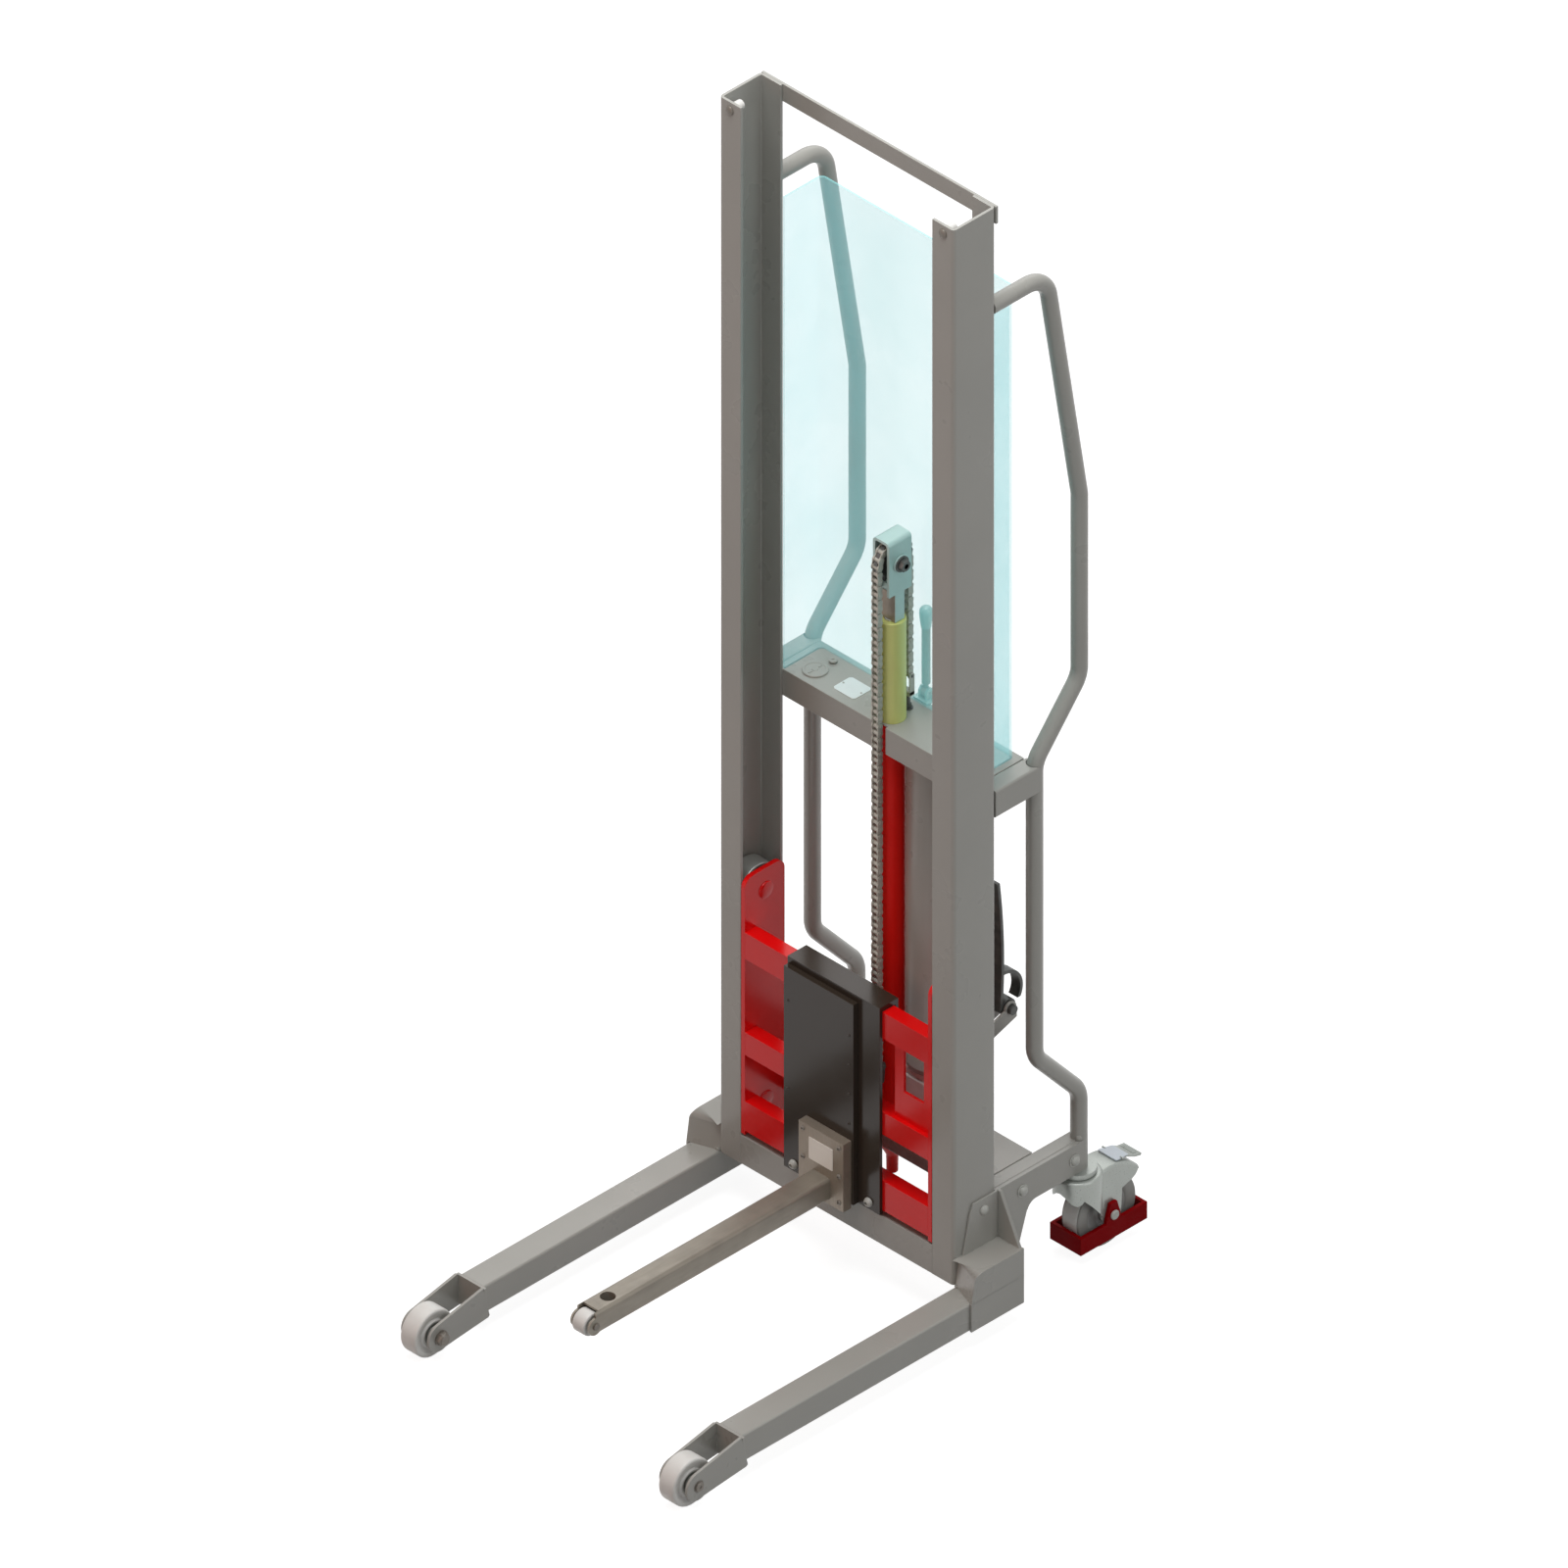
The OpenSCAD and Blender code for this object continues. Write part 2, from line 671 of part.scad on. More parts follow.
module cylinder_barrel() color(red) place() difference() {
    union() {
        translate([0, ram_y, barrel_foot]) cylinder(h = sleeve_top - barrel_foot, r = barrel_d / 2);
        translate([0, ram_y, barrel_foot - barrel_nose])
            cylinder(h = barrel_nose, r1 = barrel_d / 4, r2 = barrel_d / 2);
    }
    translate([0, ram_y, rod_foot - 8]) cylinder(h = sleeve_top - rod_foot + 9, r = rod_d / 2 + rod_gap);
}

module cylinder_sleeve() color([0.72, 0.72, 0.4]) place() difference() {
    translate([0, ram_y, deck_z]) cylinder(h = sleeve_h, r = sleeve_d / 2);
    translate([0, ram_y, deck_z - 1]) cylinder(h = sleeve_h + 2, r = barrel_d / 2);
}

module ram_rod() color(zinc) place() {
    translate([0, ram_y, rod_foot]) cylinder(h = sleeve_top + move_gap - rod_foot, r = rod_d / 2);
    box([-head_w / 2 + 1, ram_y - 10, sleeve_top + move_gap], [head_w / 2 - 1, ram_y + 10, head_z]);
    box([-head_w / 2 + head_t, ram_y - 10, head_z], [head_w / 2 - head_t, ram_y + 10, head_z + 12]);
}

module wheel_axle_hole(r) rod_x(-head_w, head_w, [ram_y, wheel_z], r);

module ram_head() color(zinc) place() difference() {
    xz_plate(ram_y - head_d / 2, head_d) difference() {
        translate([-head_w / 2, head_z]) {
            square([head_w, head_top - head_z - 8]);
            translate([0, head_top - head_z - 34]) round_rect([head_w, 34], 8);
        }
        translate([-head_w / 2 + head_t, head_z - 1]) {
            square([head_w - 2 * head_t, head_top - head_z - 8]);
            translate([0, head_top - head_z - 34]) round_rect([head_w - 2 * head_t, 30], 4);
        }
    }
    wheel_axle_hole(wheel_axle_d / 2);
}

module chain_wheel_axle() color(zinc) place() {
    rod_x(-head_w / 2, head_w / 2, [ram_y, wheel_z], wheel_axle_d / 2);
    rod_x(head_w / 2, head_w / 2 + 3, [ram_y, wheel_z], 15);
    hex_x(head_w / 2 + 3, 10, [ram_y, wheel_z], 12);
    hex_x(-head_w / 2 - 8, 8, [ram_y, wheel_z], 12);
}

// Chain wheel: a toothed plate on a hub, one gap for each chain roller
module chain_wheel() color([0.45, 0.45, 0.46]) place() translate([0, ram_y, wheel_z]) rotate([0, 90, 0])
    difference() {
        union() {
            translate([0, 0, -chain_slot + move_gap]) linear_extrude(2 * (chain_slot - move_gap)) difference() {
                circle(wheel_tip_r - 0.8);
                for (i = [0:wheel_teeth - 1]) rotate(i * 360 / wheel_teeth)
                    translate([wheel_r, 0]) circle(chain_roller_d / 2 + 0.15, $fn = 32);
            }
            translate([0, 0, -chain_w / 2 - 4]) cylinder(h = chain_w + 8, r = wheel_r / 2);
        }
        translate([0, 0, -head_w]) cylinder(h = 2 * head_w, r = wheel_axle_d / 2 + pin_gap);
    }

// The chain's half turn over its wheel: two rows of plates under a thin cover
module chain_top() color(zinc) place() difference() {
    translate([-chain_w / 2, ram_y, wheel_z]) rotate([0, 90, 0]) difference() {
        cylinder(h = chain_w, r = wheel_r + chain_h / 2);
        translate([0, 0, -1]) cylinder(h = chain_w + 2, r = wheel_r - chain_h / 2);
        translate([0, 0, chain_w / 2 - chain_slot]) cylinder(h = 2 * chain_slot, r = wheel_tip_r + 0.2);
    }
    box([-chain_w, ram_y - 60, wheel_z - 60], [chain_w, ram_y + 60, wheel_z]);
}

// A straight strand with room for the wheel's teeth
module strand(y, z0, z1) difference() {
    box([-chain_w / 2, y - chain_h / 2, z0], [chain_w / 2, y + chain_h / 2, z1]);
    rod_x(-chain_slot, chain_slot, [ram_y, wheel_z], wheel_r + chain_h / 2 - chain_skin);
}

module chain_front() color(zinc) place() strand(front_chain_y, clevis_z[1] + move_gap, wheel_z);

module chain_rear() color(zinc) place() strand(rear_chain_y, deck_z + anchor_h, wheel_z - move_gap);

module chain_anchor() color([0.25, 0.25, 0.26]) place() {
    translate([0, rear_chain_y, deck_z]) cylinder(h = 12, r = 8, $fn = 6);
    translate([0, rear_chain_y, deck_z + 12]) cylinder(h = 14, r = 5);
    box([-8, rear_chain_y - 7, deck_z + 26], [8, rear_chain_y + 7, deck_z + anchor_h]);
}

// Pump, tank and pedal

module oil_tank() color(grey) place()
    translate([tank_x, tank_y, tank_low]) cylinder(h = deck_low - tank_low, r = tank_d / 2);

module pump_block() color([0.7, 0.7, 0.7]) place() {
    translate([tank_x - pump_w / 2 + 1, tank_y - pump_w / 2, arm_top]) cube([pump_w, pump_w, pump_h]);
    rod_x(tank_x + pump_w / 2 + 1, tank_x + pump_w / 2 + 23, [tank_y, arm_top + pump_h / 2], 16);
}

// A saddle on the tank that reaches back to two cheeks
module pedal_bracket() color(grey) place() difference() {
    union() {
        box([tank_x, tank_y - 25, pedal_pos[2] - 44], [pedal_pos[0] + pedal_w, tank_y + 12, pedal_pos[2] - 26]);
        for (x = [-1, 1]) yz_plate(
            pedal_pos[0] + x * (pedal_w / 2 + move_gap + pedal_bracket_t / 2) - pedal_bracket_t / 2,
            pedal_bracket_t
        ) {
            polygon([
                [tank_y - 25, pedal_pos[2] - 48], [tank_y + 15, pedal_pos[2] - 38],
                [pedal_pos[1] + 13, pedal_pos[2] - 20], [pedal_pos[1] + 12, pedal_pos[2]],
                [pedal_pos[1] - 12, pedal_pos[2]], [tank_y - 25, pedal_pos[2] - 26]
            ]);
            translate([pedal_pos[1], pedal_pos[2]]) circle(12);
        }
    }
    translate([tank_x, tank_y, tank_low]) cylinder(h = deck_z - tank_low, r = tank_d / 2);
    rod_x(0, mast_x, [pedal_pos[1], pedal_pos[2]], pedal_shaft_d / 2 + pin_gap);
}

// The pedal: a hub on its shaft, a tall curved blade and a foot bar behind
module pump_pedal() color(black) place() {
    x = pedal_pos[0] - pedal_w / 2;
    hub = [pedal_pos[1], pedal_pos[2]];
    rod_x(x, x + pedal_w, hub, pedal_hub_r);
    rod_x(x - 12, x + pedal_w + 12, hub, pedal_shaft_d / 2);
    bow = 5 * pedal_l;
    blade_rise = 90;
    blade_t = 6;
    yz_plate(x, pedal_w) intersection() {
        difference() {
            translate(hub + [-9 - bow, blade_rise]) circle(bow, $fn = 360);
            translate(hub + [-9 - blade_t - bow, blade_rise]) circle(bow, $fn = 360);
        }
        translate(hub - [pedal_l, 0]) square([pedal_l, pedal_l]);
    }
    // A hooked plate springs from the blade and curves down behind the hub, for the foot
    yz_plate(x, pedal_w) intersection() {
        difference() {
            translate(hub + [-11, 28]) circle(42);
            translate(hub + [-11, 28]) circle(42 - blade_t);
        }
        translate(hub + [-12, 8]) square([60, 70]);
    }
}

// A foot plate at the back of the deck with two ears for the release lever
module lever_base() difference() {
    union() {
        box([lever_pos[0] - 16, deck_back - 8, deck_z], [lever_pos[0] + 16, deck_back + 14, deck_z + 4]);
        for (x = [-lever_ear_x, lever_ear_x - lever_ear_t])
            box([lever_pos[0] + x, lever_pos[1] - 8, deck_z + 4],
                [lever_pos[0] + x + lever_ear_t, lever_pos[1] + 8, deck_z + lever_pin_z + 9]);
    }
    rod_x(lever_pos[0] - 20, lever_pos[0] + 20, [lever_pos[1], deck_z + lever_pin_z], lever_pin_r + pin_gap);
}

// Release lever: a pin, an eye between the ears, a rod and a knob
module release_lever() color([0.3, 0.33, 0.33]) place() {
    pin = [lever_pos[1], deck_z + lever_pin_z];
    eye = lever_ear_x - lever_ear_t - move_gap;
    rod_x(lever_pos[0] - lever_ear_x, lever_pos[0] + lever_ear_x, pin, lever_pin_r);
    rod_x(lever_pos[0] - eye, lever_pos[0] + eye, pin, lever_hub_r);
    translate([lever_pos[0], pin[0], pin[1]]) {
        cylinder(h = lever_l, r = lever_hub_r - 3);
        translate([0, 0, lever_pin_z]) cylinder(h = lever_l - lever_pin_z, r = lever_rod_r);
        translate([0, 0, lever_l]) cylinder(h = 10, r1 = lever_rod_r + 1, r2 = lever_knob_r);
        translate([0, 0, lever_l + 10]) sphere(lever_knob_r);
    }
}

// Fasteners of the frame: bolts through the brackets and arms, end stops at the top
module frame_bolts() color(zinc) place() both_sides() {
    rod_x(mast_x - mast_wall, mast_x + bracket_t, corner_bolt, bolt_r);
    hex_x(mast_x + bracket_t, bolt_head_h, corner_bolt, bolt_head_r);
    for (p = arm_bolts) {
        rod_x(mast_x - arm_plate_t - arm_wall, mast_x, p, bolt_r);
        hex_x(mast_x, bolt_head_h, p, bolt_head_r);
    }
    rod_y(-4, 0, [stop_x, stop_z], 7);
    rod_y(0, mast_wall, [stop_x, stop_z], bolt_r);
    rod_y(mast_wall, mast_wall + stop_l, [stop_x, stop_z], stop_d / 2);
}

// Carriage

module guide_pin_cuts() for (z = guide_z) rod_x(0, mast_x, [guide_y, z], guide_pin_d / 2);

module carriage_side() difference() {
    yz_plate(side_x, side_t) {
        translate([0, carriage_z]) square([side_d, side_h - 20]);
        translate([0, side_top - 60]) round_rect([side_d, 60], 18);
    }
    guide_pin_cuts();
}

module carriage_sides() color(red) place() both_sides() carriage_side();

module guide_roller_pins() color(zinc) place() both_sides() for (z = guide_z) {
    rod_x(side_x, guide_x + guide_w, [guide_y, z], guide_pin_d / 2);
    rod_x(side_x - 4, side_x, [guide_y, z], guide_pin_d / 2 + 3);
}

// Guide rollers run on the mast's flanges
module guide_roller(left, z) color([0.6, 0.6, 0.58]) place() on_side(left)
    roller(guide_x + guide_w / 2, [guide_y, z], guide_d / 2, guide_w, guide_pin_d / 2, pin_gap, 3);

module guide_roller_upper_left() guide_roller(true, guide_z[1]);
module guide_roller_upper_right() guide_roller(false, guide_z[1]);
module guide_roller_lower_left() guide_roller(true, guide_z[0]);
module guide_roller_lower_right() guide_roller(false, guide_z[0]);

module tool_bolt_holes() for (p = tool_bolts) rod_y(cover_y - 1, bar_t + 1, p, bolt_r);

module carriage_bars() color(red) place() difference() {
    for (z = [bar_low, bar_mid, bar_top]) box([-side_x, 0, z[0]], [side_x, bar_t, z[1]]);
    tool_bolt_holes();
}

module carriage_back_plate() color(red) place() xz_plate(back_plate_inset, back_plate_t) difference() {
    translate([side_x - back_plate_w, bar_mid[1]]) square([back_plate_w, bar_top[0] - bar_mid[1]]);
    translate([window_x - window_w, window_low]) square([window_w, window_top - window_low]);
}

module chain_clevis() color([0.4, 0.4, 0.4]) place()
    box([-clevis_w / 2, bar_t, clevis_z[0]], [clevis_w / 2, clevis_y, clevis_z[1]]);

module tool_plate() color(black) place() difference() {
    union() {
        box([-tool_w / 2, -tool_t, carriage_z + 1], [tool_w / 2, 0, tool_top]);
        box([-tool_w / 2, 0, bar_top[1]], [tool_w / 2, bar_t + 3 + tool_t, tool_top]);
        box([-tool_w / 2, bar_t + 3, bar_top[0] + 15], [tool_w / 2, bar_t + 3 + tool_t, bar_top[1]]);
    }
    tool_bolt_holes();
    boom_bolt_holes();
}

module boom_bolt_holes() for (p = boom_bolts) rod_y(flange_y - 1, 1, p, 4);

// Cover: a shallow pressed tray on the front of the tool plate
module tool_cover() color([0.24, 0.23, 0.2]) place() difference() {
    box([cover_x[0], cover_y, carriage_z + 1], [cover_x[1], -tool_t, tool_top - 12]);
    box([cover_x[0] + cover_t, cover_y + cover_t, flange_plate_z + flange_plate_h + 6],
        [cover_x[1] - cover_t, -tool_t + 1, tool_top - 12 - cover_t]);
    boom_bolt_holes();
    tool_bolt_holes();
}

module boom_flange() color([0.4, 0.37, 0.33]) place() difference() {
    box([-flange_plate_w / 2, flange_y, flange_plate_z],
        [flange_plate_w / 2, cover_y, flange_plate_z + flange_plate_h]);
    boom_bolt_holes();
}

module boom() color([0.55, 0.54, 0.52]) place() difference() {
    union() {
        difference() {
            tube_y([-boom_size / 2, boom_z], [boom_size, boom_size], boom_wall, boom_corner_r, boom_end, flange_y);
            box([-boom_size, boom_end - 1, boom_z - 1],
                [boom_size, tip_y, boom_z + boom_size + 1]);
            box([-boom_size / 2 + boom_wall, boom_end - 1, boom_z - 1],
                [boom_size / 2 - boom_wall, tip_slot_y, boom_z + boom_size + 1]);
        }
        both_sides() yz_plate(boom_size / 2 - boom_wall, boom_wall)
            translate([tip_y, tip_z]) circle(tip_d / 2 - 3);
        translate([0, hole_y, boom_z]) cylinder(h = boom_size, d = boom_hole_d + 6);
    }
    translate([0, hole_y, boom_z - 1]) cylinder(h = boom_size + 2, d = boom_hole_d);
    rod_x(-boom_size, boom_size, [tip_y, tip_z], tip_axle_d / 2);
}

// Bolts of the tool plate and flange, and the tip roller's pin
module tool_fasteners() color(zinc) place() {
    for (p = tool_bolts) {
        seat = tool_bolt_seat(p[0]);
        rod_y(seat, bar_t, p, bolt_r);
        rod_y(seat - 7, seat, p, 8);
    }
    for (p = boom_bolts) {
        rod_y(flange_y, 0, p, 4);
        rod_y(flange_y - 3, flange_y, p, 6);
    }
    rod_x(-boom_size / 2 - 3, boom_size / 2 + 3, [tip_y, tip_z], tip_axle_d / 2);
    both_sides() rod_x(boom_size / 2, boom_size / 2 + 3, [tip_y, tip_z], 8);
}

module tip_roller() color([0.85, 0.85, 0.83]) place()
    roller(0, [tip_y, tip_z], tip_d / 2, tip_w, tip_axle_d / 2, pin_gap, 1.5);

// Casters: a head on the frame, a fork that swivels, wheel, foot guard and brake pedal

module caster_heads() color(zinc) place() both_sides() {
    translate([stem_x, stem_y, arm_z - 10]) cylinder(h = 10, r = 30);
    translate([stem_x, stem_y, crown_z[0]]) cylinder(h = arm_z - 10 - crown_z[0], r = swivel_pin_r);
}

// Outline of a fork cheek: a hooked plate that arches over the wheel
module fork_cheek() difference() {
    intersection() {
        translate([wheel_y, wheel_z0]) circle(roof_r);
        polygon([
            [wheel_y - 16, wheel_z0 - 12], [wheel_y - 56, wheel_z0 + 42], [wheel_y - 56, crown_z[1]],
            [wheel_y + 100, crown_z[1]], [wheel_y + 100, wheel_z0 + 54], [wheel_y + 46, wheel_z0 + 42],
            [wheel_y + 24, wheel_z0 + 26], [wheel_y + 16, wheel_z0 - 12]
        ]);
    }
}

module caster_fork(left) color(zinc) place() on_side(left) {
    difference() {
        union() {
            translate([stem_x, stem_y, crown_z[0]]) cylinder(h = crown_z[1] - crown_z[0], r = crown_r);
            for (x = [-fork_out, fork_in]) yz_plate(stem_x + x, fork_out - fork_in) fork_cheek();
            yz_plate(stem_x - fork_out, 2 * fork_out) difference() {
                fork_cheek();
                translate([wheel_y, wheel_z0]) circle(roof_r - 3);
            }
            for (x = [-brake_w / 2 - 4.5, brake_w / 2 + 0.5]) yz_plate(stem_x + x, 4) {
                translate([pivot_y - 7, wheel_z0 + roof_r - 12]) square([14, pivot_z - wheel_z0 - roof_r + 12]);
                translate([pivot_y, pivot_z]) circle(7);
            }
        }
        translate([stem_x, stem_y, crown_z[0] - 1]) cylinder(h = 40, r = swivel_pin_r + pin_gap);
        rod_x(stem_x - 40, stem_x + 40, [pivot_y, pivot_z], pivot_r + pin_gap);
        rod_x(stem_x - 60, stem_x + 60, [wheel_y, wheel_z0], caster_axle_d / 2);
    }
    rod_x(stem_x - foot_guard_w / 2 - 6, stem_x + foot_guard_w / 2, [wheel_y, wheel_z0], caster_axle_d / 2);
    rod_x(stem_x + foot_guard_w / 2, stem_x + foot_guard_w / 2 + 4, [wheel_y, wheel_z0], 8);
    hex_x(stem_x - foot_guard_w / 2 - 8, 8, [wheel_y, wheel_z0], 9);
}

module caster_fork_left() caster_fork(true);
module caster_fork_right() caster_fork(false);

module caster_wheel(left) color([0.55, 0.57, 0.55]) place() on_side(left)
    roller(stem_x, [wheel_y, wheel_z0], wheel_d / 2, wheel_w, caster_axle_d / 2, pin_gap, 4);

module caster_wheel_left() caster_wheel(true);
module caster_wheel_right() caster_wheel(false);

module foot_guard(left) color([0.4, 0.02, 0.04]) place() on_side(left) difference() {
    union() {
        translate([stem_x - foot_guard_w / 2, wheel_y - foot_guard_l / 2, foot_guard_z]) difference() {
            cube([foot_guard_w, foot_guard_l, foot_guard_h]);
            translate([foot_guard_t, foot_guard_t, -1])
                cube([foot_guard_w - 2 * foot_guard_t, foot_guard_l - 2 * foot_guard_t, foot_guard_h + 2]);
        }
        for (x = [-foot_guard_w / 2, foot_guard_w / 2 - foot_guard_t]) yz_plate(stem_x + x, foot_guard_t) {
            polygon([
                [wheel_y - 17, foot_guard_z + foot_guard_h - 1], [wheel_y + 17, foot_guard_z + foot_guard_h - 1],
                [wheel_y + 7, wheel_z0 + 22], [wheel_y - 7, wheel_z0 + 22]
            ]);
        }
    }
    rod_x(stem_x - 60, stem_x + 60, [wheel_y, wheel_z0], caster_axle_d / 2);
}

module foot_guard_left() foot_guard(true);
module foot_guard_right() foot_guard(false);

// Brake pedal: a short plate on a pivot at the back of the fork's roof
module brake_pedal(left) color(zinc) place() on_side(left) {
    rod_x(stem_x - brake_w / 2 - 4, stem_x + brake_w / 2 + 4, [pivot_y, pivot_z], pivot_r);
    yz_plate(stem_x - brake_w / 2, brake_w) polygon([
        [pivot_y - 2, pivot_z + pivot_r], [pivot_y + 12, pivot_z + pivot_r - 1],
        [wheel_y + brake_reach, pivot_z - 6], [wheel_y + brake_reach, pivot_z - 10],
        [pivot_y + 12, pivot_z - pivot_r - 1], [pivot_y, pivot_z - pivot_r]
    ]);
}

module brake_pedal_left() brake_pedal(true);
module brake_pedal_right() brake_pedal(false);

mast_upright_left();
mast_upright_right();
mast_top_bar();
mast_foot_beam();
leg_left();
leg_right();
leg_fork_left();
leg_fork_right();
front_axles();
corner_brackets();
lower_arms();
base_plate();
handle_left();
handle_right();
upper_arms();
deck_tray();
guard_screen();
cylinder_barrel();
cylinder_sleeve();
oil_tank();
pump_block();
pedal_bracket();
chain_anchor();
chain_rear();
deck_fittings();
frame_bolts();
caster_heads();
ram_rod();
ram_head();
chain_wheel_axle();
chain_top();
chain_front();
chain_wheel();
carriage_sides();
carriage_bars();
carriage_back_plate();
guide_roller_pins();
chain_clevis();
tool_plate();
tool_cover();
boom_flange();
boom();
tool_fasteners();
guide_roller_upper_left();
guide_roller_upper_right();
guide_roller_lower_left();
guide_roller_lower_right();
tip_roller();
front_roller_left();
front_roller_right();
caster_fork_left();
caster_fork_right();
caster_wheel_left();
caster_wheel_right();
foot_guard_left();
foot_guard_right();
brake_pedal_left();
brake_pedal_right();
pump_pedal();
release_lever();
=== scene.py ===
"""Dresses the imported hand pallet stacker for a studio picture.

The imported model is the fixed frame. Each sub-assembly is a class that reads its place
from that frame, builds finished meshes around it and gives them their finish. Lengths
are in millimetres from the middle of the mast's front face at floor level: X runs across
the machine, Y towards the operator and Z up. Meshes are stored in metres.
"""

from __future__ import annotations

import json
import logging
import math
import sys
from abc import ABC, abstractmethod
from dataclasses import dataclass
from enum import Enum
from typing import Iterable, Sequence

import bmesh
import bpy
import numpy as np
from mathutils import Matrix, Vector
from mathutils.geometry import tessellate_polygon

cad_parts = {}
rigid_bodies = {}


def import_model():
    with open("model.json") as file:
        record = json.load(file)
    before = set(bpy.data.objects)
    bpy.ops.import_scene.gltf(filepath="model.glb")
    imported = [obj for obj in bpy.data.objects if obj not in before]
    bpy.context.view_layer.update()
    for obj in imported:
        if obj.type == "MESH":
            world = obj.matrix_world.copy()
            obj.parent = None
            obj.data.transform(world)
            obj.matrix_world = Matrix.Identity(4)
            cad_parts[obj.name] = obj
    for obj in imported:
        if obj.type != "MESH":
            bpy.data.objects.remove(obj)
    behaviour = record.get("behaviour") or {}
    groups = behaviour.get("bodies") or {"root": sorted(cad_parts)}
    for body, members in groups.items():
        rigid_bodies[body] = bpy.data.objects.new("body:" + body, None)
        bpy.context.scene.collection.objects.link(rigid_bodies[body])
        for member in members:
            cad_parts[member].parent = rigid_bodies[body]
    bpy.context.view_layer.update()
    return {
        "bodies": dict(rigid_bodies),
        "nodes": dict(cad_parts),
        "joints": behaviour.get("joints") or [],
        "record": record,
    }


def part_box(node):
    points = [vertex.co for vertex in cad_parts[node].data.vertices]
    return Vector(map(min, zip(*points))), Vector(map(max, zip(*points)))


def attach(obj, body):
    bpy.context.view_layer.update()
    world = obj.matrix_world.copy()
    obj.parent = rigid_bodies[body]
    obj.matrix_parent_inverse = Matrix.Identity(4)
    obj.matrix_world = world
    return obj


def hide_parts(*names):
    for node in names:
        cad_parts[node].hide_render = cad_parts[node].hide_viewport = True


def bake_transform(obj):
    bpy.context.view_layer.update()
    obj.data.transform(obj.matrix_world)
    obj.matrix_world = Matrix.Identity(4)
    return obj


LOG = logging.getLogger("stacker")
TAU = 2 * math.pi
# A millimetre, in metres.
MM = 0.001
# Half the angle of a corner, in radians, above which it counts as straight.
NEARLY_STRAIGHT = 1.56
# Least cosine of half a turn that a bent sheet's corner is drawn out by.
SHARPEST = 0.3
Array = np.ndarray
Faces = list[tuple[int, ...]]
Profile = list[tuple[float, float]]
Table = tuple[tuple[float, float], ...]
# A body, or two bodies and the share of the second one's travel against the first.
Body = str | tuple[str, str, float]
Socket = bpy.types.NodeSocket
SIDES = ("left", "right")
CHASSIS = "chassis"


class Plane(Enum):
    """The two axes in which an outline lies, then the axis that it is pushed along."""

    YZ = (1, 2, 0)
    XZ = (0, 2, 1)
    XY = (0, 1, 2)


class Axis(Enum):
    """An axis that a shape is turned about."""

    X = 0
    Y = 1
    Z = 2


@dataclass
class Solid:
    """Points in millimetres and the faces that join them."""

    points: Array
    faces: Faces

    def moved(self, offset: Sequence[float]) -> Solid:
        """The same shape, shifted by an offset."""
        return Solid(self.points + np.asarray(offset, float), self.faces)

    def mirrored(self) -> Solid:
        """The same shape on the other side of the machine's middle plane."""
        return Solid(self.points * [-1, 1, 1], [face[::-1] for face in self.faces])

    def rotated(self, degrees: float, axis: Axis, centre: Sequence[float]) -> Solid:
        """The same shape, rotated about an axis through a centre."""
        turn = np.array(Matrix.Rotation(math.radians(degrees), 3, axis.name))
        return Solid((self.points - np.asarray(centre, float)) @ turn.T + centre, self.faces)

    def repeated(self, offsets: Array) -> Solid:
        """Copies of the shape, one at each offset.

        Args:
            offsets: How far each copy is shifted, a row for each.

        Returns:
            All the copies as one shape.
        """
        count = len(self.points)
        points = (self.points[None] + np.asarray(offsets, float)[:, None]).reshape(-1, 3)
        faces = [
            tuple(i + copy * count for i in face)
            for copy in range(len(offsets))
            for face in self.faces
        ]
        return Solid(points, faces)


def joined(*solids: Solid) -> Solid:
    """Several shapes as one, each still closed by itself.

    Args:
        solids: The shapes.

    Returns:
        The one shape.
    """
    starts = np.cumsum([0] + [len(s.points) for s in solids])
    faces = [
        tuple(int(i + start) for i in face)
        for solid, start in zip(solids, starts)
        for face in solid.faces
    ]
    return Solid(np.concatenate([s.points for s in solids]), faces)


def unit(vectors: Array) -> Array:
    """Vectors divided by their lengths, along the last axis."""
    return vectors / np.maximum(np.linalg.norm(vectors, axis=-1, keepdims=True), 1e-12)


def arc(centre: Sequence[float], radius: float, start: float, end: float, steps: int) -> Array:
    """Points on a circle from one angle in degrees to another.

    The point at angle a is centre + radius * (cos a, sin a).
    """
    angle = np.radians(np.linspace(start, end, steps + 1))
    return np.asarray(centre) + radius * np.stack([np.cos(angle), np.sin(angle)], 1)


def disc(centre: Sequence[float], radius: float, steps: int = 32) -> Array:
    """A full circle of points, the last one before the first."""
    return arc(centre, radius, 0, 360, steps)[:-1]


def oblong(low: Sequence[float], high: Sequence[float]) -> Array:
    """The four corners of an upright rectangle."""
    (left, bottom), (right, top) = low, high
    return np.array([[left, bottom], [right, bottom], [right, top], [left, top]], float)


